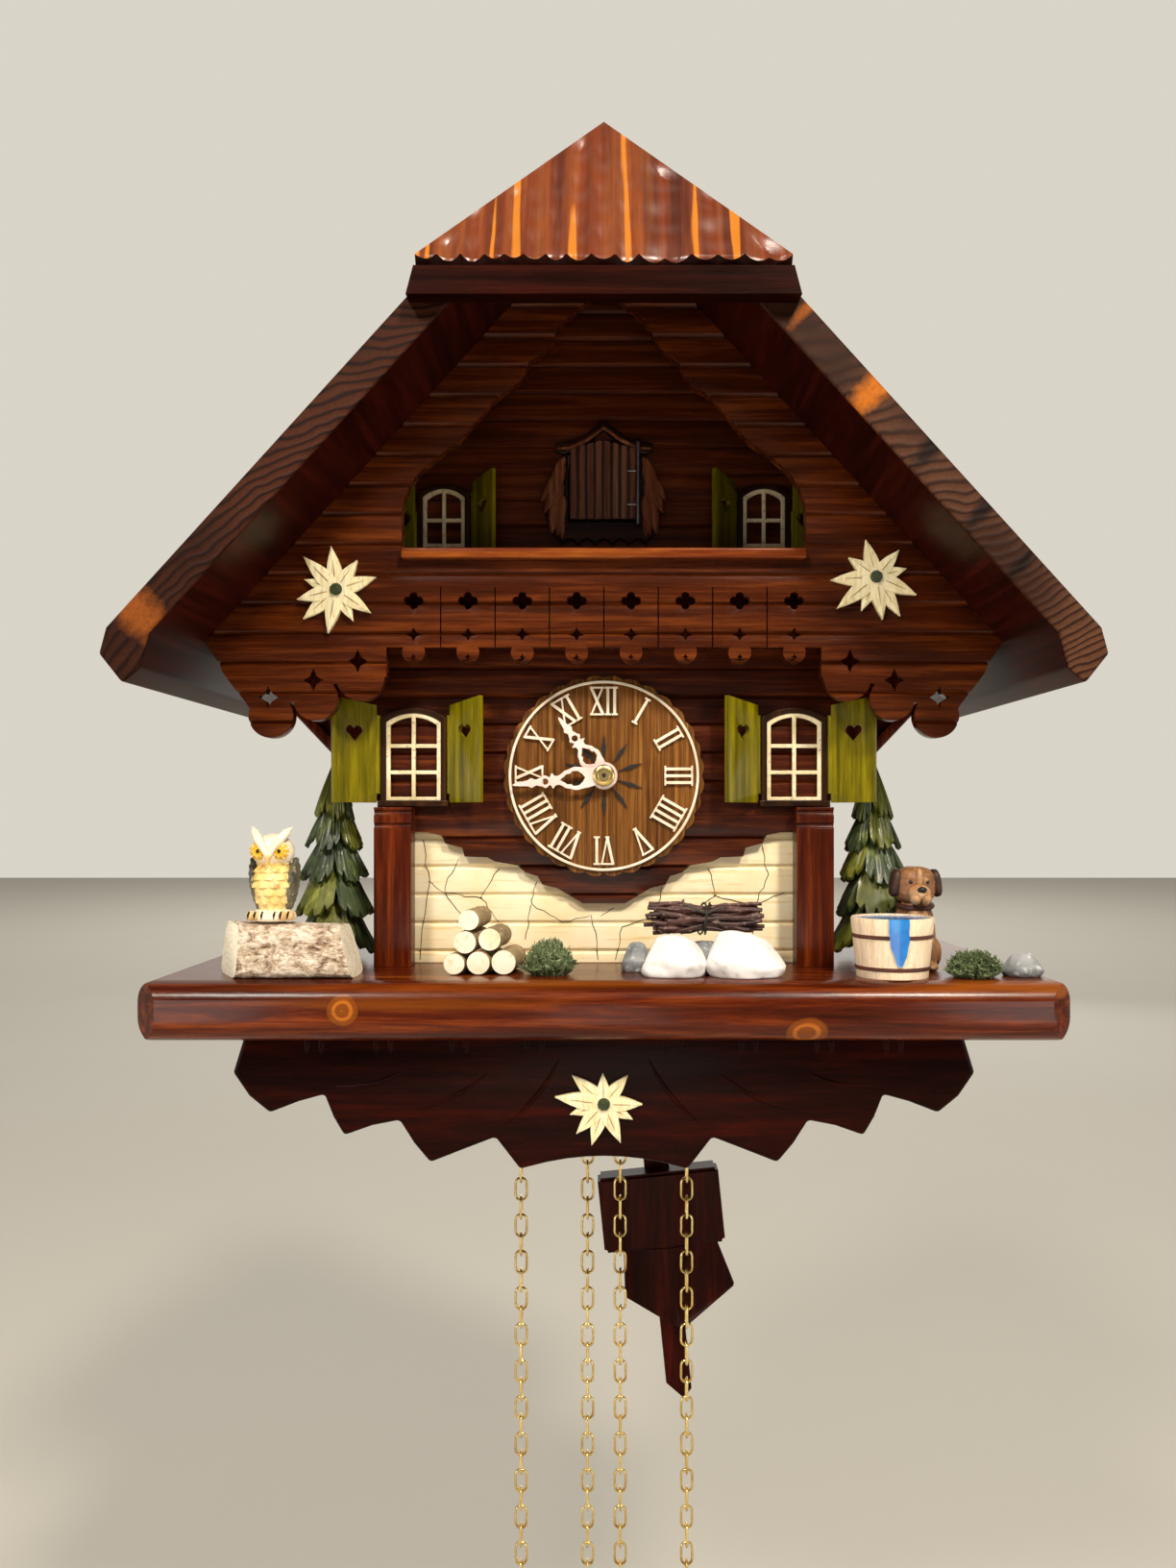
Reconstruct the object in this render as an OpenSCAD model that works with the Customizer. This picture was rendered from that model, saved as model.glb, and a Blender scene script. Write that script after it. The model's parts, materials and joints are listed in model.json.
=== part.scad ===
// Chalet cuckoo clock with balcony, two chain-driven trains, pendulum and cuckoo.
// Millimetres. X to the viewer's right, the dial faces -Y, Z up. The wall is the plane y = 0.
// The origin is the centre of the hole that the clock hangs by.

/* [House] */
// Width of the base board
base_w = 287; // [284:1:292]
// Depth of the base board from the wall
base_d = 137.5; // [136:0.5:142]
// Thickness of the base board
base_t = 18.5; // [16:0.5:20]
// Half width of the case
case_half = 77; // [76.8:0.1:77.4]
// Height of the outer ridge above the hanging hole
ridge_z = 65; // [64:0.5:66]
// Pitch of the main roof in degrees
roof_pitch = 47.75; // [47.5:0.05:48]
// Thickness of the roof slabs
roof_t = 10.5; // [10:0.1:11]
// Depth of the roof from the wall
roof_d = 149; // [146:1:152]
// Height of one siding course
course = 9.65; // [9.4:0.05:9.9]
// Depth of the siding grooves
groove = 1.2; // [0.6:0.1:1.4]

/* [Dial] */
// Height of the dial centre below the hanging hole
dial_drop = 136.2; // [135.8:0.1:136.6]
// Radius of the scalloped dial disc
dial_r = 34; // [33:0.5:35]
// Hour hand angle from twelve in degrees
hour_angle = 322; // [0:1:359]
// Minute hand angle from twelve in degrees
minute_angle = 264; // [0:1:359]

/* [Pendulum] */
// Height of the suspension below the hanging hole
swing_drop = 84; // [83.5:0.1:84.5]
// Angle of the stored swing from plumb in degrees
swing_rest = 5.8; // [4:0.1:7]

/* [Chains and weights] */
// Radius at which a chain runs on its sprocket
chain_run_r = 12.4; // [12.3:0.1:12.5]
// Radius of the chain's outer envelope
chain_r = 2.4; // [2:0.1:2.5]
// Lowest point of the chains
chain_end_z = -440; // [-450:1:-436]
// Radius of the pine cone weights
cone_r = 13.8; // [12:0.2:16]
// Height of the pine cone weights
cone_h = 98; // [90:1:110]

/* [Hidden] */
$fn = 48;

fit_gap = 0.05;              // radial running clearance of every arbor
base_z = -200;               // top of the base board
slab_drop = roof_t / cos(roof_pitch);
slope = tan(roof_pitch);
under_z = ridge_z - slab_drop;   // underside of the ridge
gable_y = -110;              // front of the gable front
gable_t = 5;
facade_y = -91.5;            // front of the lower siding
wall_y = -66;                // front of the upper wall
wall_t = 5;
side_t = 6;
panel_t = 5;
front_in = -85;              // back of the lower front boards
dial_z = -dial_drop;
swing_z = -swing_drop;
floor_z = -71.2;             // underside of the balcony floor
hip_foot = [-155, 11];       // front edge of the hip board: [y, z]
hip_tilt = 63.4;             // its slope in degrees
hip_t = 6;
panel_pitch = 17.65;         // width of one balcony panel
notch_half = 70.6;           // half width of the cut below the balcony

// arbor places seen from the front: [x, z]
centre_at = [0, dial_z];
great_at = [18.5, -162];
strike_at = [-18.5, -162];
third_at = [17, -116.1];
escape_at = [0, -96];
pin_at = [-26.5, -136.6];
fly_at = [-18.5, -115.9];
hammer_pin = [-33, -112];
motion_at = [0, dial_z - 12];
bird_pin = [34.7, -58];      // upright pin of the bird's arm: [x, y]
bird_turn = -57;             // how far the stored bird is turned in
plate_front_y = -78;         // front of the front plate
plate_back_y = -39.5;        // front of the back plate
plate_t = 1.5;
arbor_r = 1;
chain_y = -52;

// edelweiss petals: [angle, length]
left_petals = [[98, 14.3], [56, 11.6], [19, 13.2], [-34, 13.1], [-63, 11.2], [-102, 14.2],
               [-140, 14.4], [-167, 13.3], [162, 11.1], [135, 15.2]];
right_petals = [[104, 12.6], [49, 11.6], [16, 10.6], [-23, 14.4], [-57, 14.9], [-80, 13.8],
                [-112, 11.6], [-141, 15.9], [-177, 14.4], [143, 10.7]];
apron_petals = [[139, 13.4], [92, 9.4], [49, 11.6], [-2, 12.2], [-30, 10.5], [-67, 13.6],
                [-106, 14], [-132, 13], [-161, 11.3], [173, 15.6]];

// ---------- helpers ----------

// A plate of thickness t whose front is at y, from an outline drawn in X and Z.
module plate(y, t) {
    translate([0, y + t, 0]) rotate([90, 0, 0]) linear_extrude(t) children();
}

// A round bar along Y from y0 to y1.
module bar_y(at, r, y0, y1) {
    translate([at[0], y1, at[1]]) rotate([90, 0, 0]) cylinder(r = r, h = y1 - y0);
}

module both_sides() {
    children();
    mirror([1, 0, 0]) children();
}

// Lap siding: a block along X with one shallow groove per course.
module siding(half, z0, z1, y, t, phase) {
    first = ceil((z0 - phase) / course);
    last = floor((z1 - phase) / course);
    marks = [for (k = [first : last]) let (z = phase + k * course) if (z > z0 + 1 && z < z1 - 1) z];
    face = [for (z = marks) each [[y + 0.2, z - 0.8], [y + groove, z], [y, z + 0.9]]];
    translate([-half, 0, 0]) rotate([90, 0, 90]) linear_extrude(2 * half)
        polygon(concat([[y + t, z0], [y, z0]], face, [[y, z1], [y + t, z1]]));
}

// Window outline with a low arched top, standing on z = 0.
module arched(w, h, rise) {
    r = (w * w / 4 + rise * rise) / (2 * rise);
    intersection() {
        translate([-w / 2, 0]) square([w, h]);
        translate([0, h - r]) circle(r);
    }
}

module heart(s) {
    for (side = [-1, 1]) translate([side * s * 0.25, 0]) circle(s * 0.28);
    polygon([[-s * 0.5, -s * 0.1], [s * 0.5, -s * 0.1], [0, -s * 0.7]]);
}

// Hollow-sided diamond.
module diamond(w, h) {
    q = 0.17;
    polygon([[w / 2, 0], [w * q, h * q], [0, h / 2], [-w * q, h * q],
             [-w / 2, 0], [-w * q, -h * q], [0, -h / 2], [w * q, -h * q]]);
}

function gear_points(n, m) = [
    for (i = [0 : n - 1]) for (p = [[-0.27, -0.95], [-0.11, 0.7], [0.11, 0.7], [0.27, -0.95]])
        let (a = 360 / n * (i + p[0]), r = n * m / 2 + p[1] * m) [r * cos(a), r * sin(a)]
];

// Direction from one arbor to another, and the module that two wheels need between them.
function aim(a, b) = atan2(b[1] - a[1], b[0] - a[0]);
function mesh(a, b, n1, n2) = 2 * norm(b - a) / (n1 + n2);

// Spur gear of n teeth and module m, with one tooth pointing along turn degrees.
module gear(at, n, m, y, t, turn, bore = 0) {
    translate([at[0], y + t, at[1]]) rotate([90, 0, 0]) difference() {
        rotate(turn) linear_extrude(t) polygon(gear_points(n, m));
        if (bore > 0) translate([0, 0, -1]) cylinder(r = bore, h = t + 2);
    }
}

// Arbor between the plates with thinner pivots through both of them.
module arbor(at) {
    bar_y(at, arbor_r + 0.5, plate_front_y + plate_t + 0.3, plate_back_y - 0.3);
    bar_y(at, arbor_r, plate_front_y - 0.6, plate_back_y + plate_t + 0.6);
}

// ---------- house ----------

function roof_in(x) = under_z - slope * x;

module back_panel() {
    edge = case_half - 0.2;
    color("saddlebrown") difference() {
        plate(-panel_t, panel_t)
            polygon([[-edge, base_z], [edge, base_z], [edge, roof_in(edge) - 0.3],
                     [0, under_z - 0.3], [-edge, roof_in(edge) - 0.3]]);
        translate([-21, -2, -12]) cube([42, 4, 24]);
        bar_y([0, 0], 9, -panel_t - 1, 1);
        for (k = [-2 : 2]) bar_y([k * 12, -165], 2, -panel_t - 1, 1);
    }
}

module hanger_plate() {
    color("silver") difference() {
        plate(-2, 2) square([41.8, 23.8], center = true);
        bar_y([0, 0], 4, -3, 1);
    }
}

module case_sides() {
    inner = case_half - side_t;
    color("saddlebrown") both_sides() {
        difference() {
            plate(front_in, -front_in - panel_t)
                polygon([[inner, base_z], [case_half, base_z], [case_half, roof_in(case_half) - 0.1],
                         [inner, roof_in(inner) - 0.1]]);
            translate([inner - 1, front_in - 1, floor_z])
                cube([side_t + 2, wall_y + wall_t - front_in + 1, 60]);
        }
        plate(wall_y + wall_t, 5)
            polygon([[case_half, -150], [129.6, -94.6], [case_half, roof_in(case_half) - 0.1]]);
        plate(wall_y + wall_t - 3, 3)
            polygon([[case_half, -150], [129.6, -94.6], [124.5, -94.6], [case_half, -144.5]]);
    }
}

// Outline of the base board with its round nose at x = 0 and, if both, another at the far end.
module nosed(long, both) {
    round_r = 7;
    far = both ? long - round_r : long;
    translate([round_r, 0]) square([far - round_r, base_t]);
    translate([0, round_r]) square([long, base_t - 2 * round_r]);
    for (x = both ? [round_r, long - round_r] : [round_r]) for (z = [round_r, base_t - round_r])
        translate([x, z]) circle(round_r);
}

// Board with rounded front edge and ends, chain holes and a pendulum slot.
module base_board() {
    low_z = base_z - base_t;
    color("chocolate") difference() {
        intersection() {
            translate([-base_w / 2, -base_d, low_z]) rotate([90, 0, 90]) linear_extrude(base_w)
                nosed(base_d, false);
            translate([-base_w / 2, 0, low_z]) rotate([90, 0, 0]) linear_extrude(base_d) nosed(base_w, true);
            translate([0, 0, low_z - 1]) linear_extrude(base_t + 2)
                polygon([[-base_w / 2, 0], [base_w / 2, 0], [base_w / 2, 8 - base_d], [base_w / 2 - 8, -base_d],
                         [8 - base_w / 2, -base_d], [-base_w / 2, 8 - base_d]]);
        }
        for (x = [6.1, 30.9]) for (side = [-1, 1]) translate([side * x, chain_y, low_z - 1])
            cylinder(r = 4.4, h = base_t + 2);
        translate([-27, -40.5, low_z - 1]) cube([54, 11, base_t + 2]);
    }
}

// Carved leaf board: four points a side, then one long hollow in the middle.
module apron() {
    half = [[26.6, -262.2], [34.5, -252], [43.5, -255.4], [55.2, -260], [60.4, -253.8], [65, -246.6],
            [73.5, -248.2], [82.6, -251.4], [86.1, -245.4], [88.9, -238.4], [97, -240.6], [106.3, -244.2],
            [112.8, -238.8], [118, -231.4], [114, base_z - base_t]];
    hollow = [for (x = [-24 : 6 : 24]) [x, -258 - 4.2 * pow(x / 26.6, 2)]];
    left = [for (i = [len(half) - 1 : -1 : 0]) [-half[i][0], half[i][1]]];
    color("saddlebrown") plate(-118, 7) polygon(concat(left, hollow, half));
}

module lower_facade() {
    step = [[case_half, -155], [60, -155.3], [55.4, -156.2], [54, -159], [48.2, -160.5], [47.4, -163.5],
            [39.7, -163.8], [37, -165.2], [29.5, -166.5], [26.5, -169], [22.5, -170.2], [21, -173],
            [16, -174.2], [12.3, -176.4], [7.2, -179.4]];
    left = [for (i = [len(step) - 1 : -1 : 0]) [-step[i][0], step[i][1]]];
    top_z = floor_z;
    color("sienna") difference() {
        intersection() {
            union() {
                siding(case_half, -147, top_z, facade_y, front_in - facade_y, base_z + 4);
                siding(case_half, -180, -147, facade_y, 3, base_z + 4);
            }
            plate(facade_y - 1, 10)
                polygon(concat([[-case_half, top_z]], [for (i = [0 : len(left) - 1]) left[len(left) - 1 - i]],
                               [for (i = [len(step) - 1 : -1 : 0]) step[i]], [[case_half, top_z]]));
        }
        bar_y(centre_at, 2.6, facade_y - 2, front_in + 1);
    }
}

module stone_wall() {
    color("wheat") siding(case_half, base_z, -147.1, facade_y + 3, front_in - facade_y - 3, base_z + 4);
}

module porch_posts() {
    color("chocolate") both_sides() difference() {
        translate([64.2, -100, base_z]) cube([12.4, facade_y + 100, 53.2]);
        for (z = [-148.6, -152.9]) translate([60, -100, z]) rotate([0, 90, 0]) cylinder(r = 0.9, h = 20);
    }
}

// Half outline of the bell-shaped opening, from its point down to the handrail.
bell = [[0, 25], [3.5, 19], [7.5, 15.8], [12, 12], [15.5, 8], [17, 4], [20.5, 0.5], [24.3, -2.2], [26, -7],
        [29.5, -10.4], [34.2, -13.4], [39, -18.4], [43.8, -24.2], [47.5, -28.4], [51.6, -31.2],
        [56, -34.6], [60.2, -38.4], [63.4, -43], [65.2, -48], [65.6, -52], [65.6, -66.8]];
// Half outline below the roof line of the wings, without the round lobes.
wing = [[notch_half, -95], [notch_half, -104.5], [86.8, -106.6], [100.8, -112.6], [112, -119.5],
        [116.2, -113], [119.5, -108.8], [123.6, -103.4], [125, -100], [129.5, -93.3]];
lobes = [[79, -104.6, 7.8], [93.6, -111.6, 7.2], [108.1, -117.2, 7.2]];

function turned(points) = [for (i = [len(points) - 1 : -1 : 0]) [-points[i][0], points[i][1]]];

module gable_outline() {
    difference() {
        union() {
            polygon(concat([[0, under_z - 0.2]], [[-129.5, -93.3]], [for (i = [len(wing) - 2 : -1 : 0])
                [-wing[i][0], wing[i][1]]], wing));
            both_sides() for (l = lobes) translate([l[0], l[1]]) circle(l[2]);
            for (k = [-4 : 3]) translate([(k + 0.5) * panel_pitch, -96.6]) circle(3.7);
        }
        polygon(concat(turned(bell), bell));
        for (k = [-4 : 3]) translate([(k + 0.5) * panel_pitch, 0]) {
            for (a = [0 : 90 : 270]) translate([1.9 * cos(a), -79.9 + 1.5 * sin(a)]) circle(1.35, $fn = 24);
            translate([0, -79.9]) circle(1, $fn = 24);
            translate([0, -90.8]) diamond(5, 4.4);
            translate([0, -98.2]) diamond(2, 2.2);
        }
        for (k = [-3 : 3]) translate([k * panel_pitch - 0.2, -95.5]) square([0.4, 20]);
        both_sides() for (p = [[79.9, -99.5], [94.3, -105.7], [108.9, -111.3]]) translate(p) diamond(6.5, 7.8);
    }
}

module gable_front() {
    color("peru") intersection() {
        siding(131, -126, under_z, gable_y, gable_t, -71.3);
        plate(gable_y - 1, gable_t + 2) gable_outline();
    }
}

module balcony_boards() {
    color("peru") {
        translate([-65.4, -113.5, -66.8]) cube([130.8, 9.5, 3.4]);
        translate([-case_half, gable_y + gable_t, floor_z])
            cube([2 * case_half, wall_y - gable_y - gable_t, 4]);
    }
}

// Upper wall with the arched cuckoo opening.
module upper_wall() {
    edge = case_half;
    color("sienna") difference() {
        intersection() {
            siding(edge, floor_z, under_z, wall_y, wall_t, -25.5);
            plate(wall_y - 1, wall_t + 2)
                polygon([[-edge, floor_z], [edge, floor_z], [edge, roof_in(edge) - 0.1], [0, under_z - 0.1],
                         [-edge, roof_in(edge) - 0.1]]);
        }
        plate(wall_y - 2, wall_t + 4) translate([0, -43.6]) arched(25.6, 30, 4);
    }
}

// One slab, drawn on the right: ridge, outer face and blunt eave; cut back where the hip board lies.
module roof_slab() {
    eave = [[145.2, ridge_z - slope * 145.2], [147.3, -102.5], [140.5, -111], [135.5, -107]];
    difference() {
        plate(-roof_d, roof_d)
            polygon(concat([[0.02, under_z], [0.02, ridge_z]], eave, [[132.5, roof_in(132.5)]]));
        translate([0, hip_foot[0], hip_foot[1]]) rotate([hip_tilt, 0, 0]) translate([-100, -20, -hip_t])
            cube([200, 200, 100]);
    }
}

module roof_right() { color("darkred") roof_slab(); }
module roof_left() { color("darkred") mirror([1, 0, 0]) roof_slab(); }

// Triangular hip board with a straight fascia below its front edge.
module hip_roof() {
    run = (ridge_z - hip_foot[1]) / tan(hip_tilt);
    back = [hip_t * sin(hip_tilt), -hip_t * cos(hip_tilt)];
    low_z = -0.4;
    inner_z = hip_foot[1] + back[1] + (hip_t - back[0]) * tan(hip_tilt);
    color("orangered") intersection() {
        translate([-60, 0, 0]) rotate([90, 0, 90]) linear_extrude(120) polygon([
            [hip_foot[0], low_z], hip_foot, [hip_foot[0] + run, ridge_z],
            [hip_foot[0] + run + back[0], ridge_z + back[1]], [hip_foot[0] + hip_t, inner_z],
            [hip_foot[0] + hip_t, low_z]]);
        plate(hip_foot[0] - 1, 60)
            polygon([[-57, low_z], [57, low_z], [54.4, hip_foot[1]], [0.2, ridge_z], [-0.2, ridge_z],
                     [-54.4, hip_foot[1]]]);
    }
}

// Frame with its lattice, standing at z with its middle at x.
module window_at(x, z, w, h, rise, y) {
    frame_w = 1.9;
    bar = 1.4;
    translate([x, 0, z]) {
        plate(y - 2.4, 2.4) difference() {
            translate([0, -1]) arched(w + 2 * frame_w, h + 1 + frame_w, rise + 0.4);
            arched(w, h, rise);
        }
        plate(y - 1.9, 1.4) difference() {
            translate([0, -0.5]) arched(w + 1, h + 1, rise);
            for (side = [-1, 1]) for (row = [0 : 2])
                translate([side * (w / 4 + bar / 8) - w / 4 + bar * 0.75, bar + row * (h - bar) / 3])
                    square([w / 2 - bar * 1.5, (h - bar) / 3 - bar]);
        }
    }
}

module windows() {
    color("cornsilk") for (side = [-1, 1]) {
        window_at(side * 64.4, -144.6, 18.4, 29.6, 3, facade_y);
        window_at(side * 57.6, -62, 15, 30, 3, wall_y);
    }
}

// Shutter on a round post at [x, y], reaching away along a angle degrees.
module shutter(x, y, z, w, h, a, slant = 2.5) {
    leaf_t = 1.8;
    translate([x, y - 1.2, z]) {
        translate([0, 0, 3]) cylinder(r = 1.2, h = h - 9);
        rotate([0, 0, a]) translate([0.4, leaf_t / 2, 0]) rotate([90, 0, 0]) linear_extrude(leaf_t)
            difference() {
                polygon([[0, 0], [w, 0], [w, h], [0, h - slant]]);
                translate([w / 2, h * 0.69]) heart(5.4);
            }
    }
}

module shutters() {
    low_h = 35.5;
    high_h = 35;
    color("olive") both_sides() {
        shutter(76.8, facade_y, -145.2, 15, low_h, -25);
        mirror([1, 0, 0]) shutter(-52, facade_y, -145.2, 14, low_h, -38);
        shutter(68.3, wall_y, -62, 9.4, 28, -50, -5.5);
        mirror([1, 0, 0]) shutter(-46.9, wall_y, -62, 12.2, high_h, -50);
    }
}

// Carved house front round the cuckoo opening, with leaf sprays at both sides.
module door_surround() {
    half = [[0, -7], [3, -9.6], [8, -13.6], [13, -15.8], [17.6, -16.4], [16.4, -19.6], [14.6, -20.4],
            [17, -24.5], [19.5, -28.5], [21, -32], [23.2, -36.4], [20.6, -37], [21.8, -42], [21.6, -47],
            [19.6, -51.2], [16, -52.6], [13, -50.4]];
    color("burlywood") difference() {
        union() {
            plate(wall_y - 3.4, 3.4) polygon(concat(turned(half), half));
            for (z = [-45.4, -17.2]) translate([11, -71.6, z]) cube([2.4, 2.4, 1.4]);
        }
        plate(wall_y - 5, 7) translate([0, -43.6]) arched(25.6, 30, 4);
        translate([door_pin[0], door_pin[1], -46]) cylinder(r = 0.7 + fit_gap, h = 31);
        for (k = [-2 : 2]) plate(wall_y - 3.5, 1.2) translate([k * 5, -52]) circle(1.6, $fn = 24);
    }
}

door_pin = [12.2, -70.4];

// Slatted leaf on its pivot rod.
module cuckoo_door() {
    color("tan") {
        difference() {
            plate(-70.2, 2.4) translate([-0.3, -43.2]) arched(24.4, 29, 4);
            for (k = [-3 : 3]) translate([k * 3.2 - 0.3, -71.2, -44]) cube([0.7, 1.6, 31]);
        }
        translate([door_pin[0], door_pin[1], -45.4]) cylinder(r = 0.7, h = 29.6);
    }
}

module dial_disc() {
    scallops = 32;
    steps = scallops * 6;
    edge = [for (i = [0 : steps - 1]) let (a = 360 * i / steps, r = dial_r - 1 + abs(sin(a * scallops / 2)))
        [r * cos(a), r * sin(a)]];
    color("sienna") difference() {
        union() {
            plate(facade_y - 3, 3) translate([0, dial_z]) polygon(edge);
            plate(facade_y - 3.6, 0.6) translate([0, dial_z]) for (k = [0 : 9]) rotate(36 * k + 90)
                polygon([[5, 0], [9.6, 0.8], [13.6, 0], [9.6, -0.8]]);
        }
        bar_y(centre_at, 2.6, facade_y - 5, facade_y + 1);
    }
}

// One numeral as upright strokes, centred on the origin.
module glyphs(word, h) {
    stroke = 1.1;
    width = [for (c = word) c == "I" ? 2 : 4.2];
    function start(i) = i == 0 ? 0 : start(i - 1) + width[i - 1];
    total = start(len(word) - 1) + width[len(word) - 1];
    for (i = [0 : len(word) - 1]) translate([start(i) + width[i] / 2 - total / 2, -h / 2]) {
        if (word[i] == "I") translate([-stroke / 2, 0]) square([stroke, h]);
        if (word[i] == "V") for (s = [-1, 1])
            polygon([[0, 0], [s * 1.1, 0], [s * 2, h], [s * 0.95, h]]);
        if (word[i] == "X") for (s = [-1, 1])
            polygon([[-s * 1.9, 0], [-s * 0.8, 0], [s * 1.9, h], [s * 0.8, h]]);
    }
}

module dial_numerals() {
    words = ["XII", "I", "II", "III", "IIII", "V", "VI", "VII", "VIII", "IX", "X", "XI"];
    glyph_r = 25.2;
    color("ivory") translate([0, 0, dial_z]) {
        plate(facade_y - 4.2, 1.2) difference() {
            circle(32.1);
            circle(31.1);
        }
        plate(facade_y - 4.2, 1.2) for (k = [0 : 11]) rotate(-30 * k) translate([0, glyph_r])
            glyphs(words[k], 9.4);
    }
}

// Openwork hand pointing up: hub, tapered stem, two pierced swellings and a tip.
module hand_outline(length, hub_r) {
    edge = [[0.1, 3], [0.2, 3.5], [0.31, 3.9], [0.4, 3.1], [0.5, 1.6], [0.53, 1.7], [0.56, 2.4], [0.59, 1.4],
            [0.64, 2.1], [0.69, 1.5], [0.74, 1.1], [0.79, 1.5], [0.86, 0.9], [0.97, 0.5], [1, 0.1]];
    eye = [[0.21, 0.3], [0.25, 1.9], [0.31, 2.5], [0.37, 2], [0.43, 1], [0.46, 0.3]];
    difference() {
        union() {
            circle(hub_r);
            mirrored_form(edge, length);
        }
        mirrored_form(eye, length);
        translate([0, length * 0.64]) circle(1.05, $fn = 24);
    }
}

// Form with the same half width on both sides of its axis; each entry is [share of length, half width].
module mirrored_form(half, length) {
    n = len(half);
    polygon([for (p = half) [p[1], p[0] * length], for (i = [1 : n]) [-half[n - i][1], half[n - i][0] * length]]);
}

// Hour hand, its pipe and the forty-tooth hour wheel.
module hour_hand() {
    color("ivory") difference() {
        union() {
            translate([0, 0, dial_z]) plate(-96.9, 0.8) rotate(-hour_angle) hand_outline(24.8, 4.6);
            bar_y(centre_at, 2.4, -96.1, -82.4);
            gear(centre_at, 40, 0.48, -83.4, 1.2, -90);
        }
        bar_y(centre_at, 1.75, -98, -80);
    }
}

// Minute hand, its cannon tube and the twelve-tooth cannon pinion.
module minute_hand() {
    color("ivory") difference() {
        union() {
            translate([0, 0, dial_z]) plate(-98.5, 0.8) rotate(-minute_angle) hand_outline(30.8, 4.2);
            bar_y(centre_at, 1.65, -97.7, -78.7);
            gear(centre_at, 12, 0.5, -80.6, 1.4, -90);
        }
        bar_y(centre_at, arbor_r + fit_gap, -99, -78);
    }
}

module hand_nut() {
    color("gold") difference() {
        union() {
            bar_y(centre_at, 3.7, -100.2, -98.6);
            bar_y(centre_at, 2.6, -101.4, -100.2);
        }
        bar_y(centre_at, arbor_r, -102, -98);
    }
}

// ---------- trim ----------

// Flower of pointed petals with hollows between them.
module flower(petals) {
    n = len(petals);
    hollow_r = 5.2;
    points = [for (i = [0 : n - 1])
        let (a = petals[i][0], next = petals[(i + 1) % n][0], gap = (a - next + 720) % 360, l = petals[i][1])
        each [[l * cos(a), l * sin(a)],
              [l * 0.55 * cos(a - gap * 0.22), l * 0.55 * sin(a - gap * 0.22)],
              [hollow_r * cos(a - gap / 2), hollow_r * sin(a - gap / 2)],
              [petals[(i + 1) % n][1] * 0.55 * cos(next + gap * 0.22),
               petals[(i + 1) % n][1] * 0.55 * sin(next + gap * 0.22)]]];
    polygon(points);
}

module edelweiss() {
    color("ivory") {
        translate([-86.2, 0, -76.8]) plate(-113.6, gable_y + 113.6) flower(left_petals);
        translate([87.7, 0, -72.7]) plate(-113.6, gable_y + 113.6) flower(right_petals);
        translate([0, 0, -240.6]) plate(-121.6, 3.6) flower(apron_petals);
    }
}

// Half-round bark log lying along the front left of the base.
module half_log() {
    color("sienna") translate([-124.5, -121, base_z]) difference() {
        rotate([0, 90, 0]) cylinder(r = 17.5, h = 47);
        translate([-1, -20, -20]) cube([50, 40, 20]);
        translate([-1, -12, -1]) rotate([0, 90, 0]) cylinder(r = 2, h = 60);
        translate([-1, -20, -1]) cube([50, 9.5, 25]);
        translate([-1, 10.5, -1]) cube([50, 9.5, 25]);
        translate([0, 0, -1]) linear_extrude(25) polygon([[-1, 11], [0, 11], [11.5, -11], [-1, -11]]);
    }
}

module owl() {
    color("khaki") translate([-104, -121, base_z + 17.5]) {
        cylinder(r1 = 6.5, r2 = 8.3, h = 8);
        translate([0, 0, 8]) cylinder(r1 = 8.3, r2 = 7.2, h = 10);
        translate([0, 0, 20]) sphere(8);
        for (s = [-1, 1]) translate([s * 4.6, 0, 24.6]) cylinder(r1 = 2.6, r2 = 0.4, h = 4.8);
    }
}

// Fir built of stacked bough tiers.
module fir(x, y) {
    translate([x, y, base_z]) {
        cylinder(r = 4, h = 12);
        translate([0, 0, 6]) cylinder(r1 = 16.4, r2 = 5, h = 24);
        translate([0, 0, 24]) cylinder(r1 = 12.5, r2 = 3.6, h = 22);
        translate([0, 0, 40]) cylinder(r1 = 9.5, r2 = 2.5, h = 17);
        translate([0, 0, 54]) cylinder(r1 = 6.5, r2 = 0.4, h = 19);
    }
}

module fir_trees() {
    color("darkolivegreen") {
        fir(-94, -80);
        fir(94, -80);
    }
}

// Six cut rounds stacked two, two and one on a bottom row of three.
module log_stack() {
    places = [[-47.2, -196.4, 3.5], [-39.6, -196.1, 3.8], [-31.6, -195.9, 4], [-43.8, -189.6, 3.7],
              [-36, -188.7, 3.7], [-42.6, -182.6, 3.4]];
    color("peru") for (p = places) bar_y([p[0], p[1]], p[2], -121, -103);
}

// Low mound on the base with radius r and height h.
module mound(x, y, r, h) {
    ball = (r * r + h * h) / (2 * h);
    translate([x, y, base_z]) intersection() {
        translate([0, 0, h - ball]) sphere(ball);
        cylinder(r = r + 1, h = h + 1);
    }
}

module moss() {
    color("yellowgreen") {
        mound(-17.4, -118, 8.4, 13.6);
        mound(115.6, -124, 9.8, 9.6);
    }
}

module brushwood() {
    color("saddlebrown") translate([13, -109.5, -183]) rotate([0, 90, 0]) cylinder(r = 6.4, h = 39.5);
}

module stones() {
    color("whitesmoke") {
        mound(22.4, -121, 9.9, 13);
        mound(44, -122, 11.6, 14.3);
        mound(33, -108, 10.2, 10.1);
        mound(10.4, -110, 5.4, 9.5);
        mound(131.9, -122, 6.2, 7.2);
    }
}

// Water tub: stave cylinder that widens upward, filled to near its rim.
module water_tub() {
    color("burlywood") translate([90.7, -121.5, base_z]) difference() {
        cylinder(r1 = 11.4, r2 = 13.3, h = 18.6);
        translate([0, 0, 16.4]) cylinder(r = 11.6, h = 5);
    }
}

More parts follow.
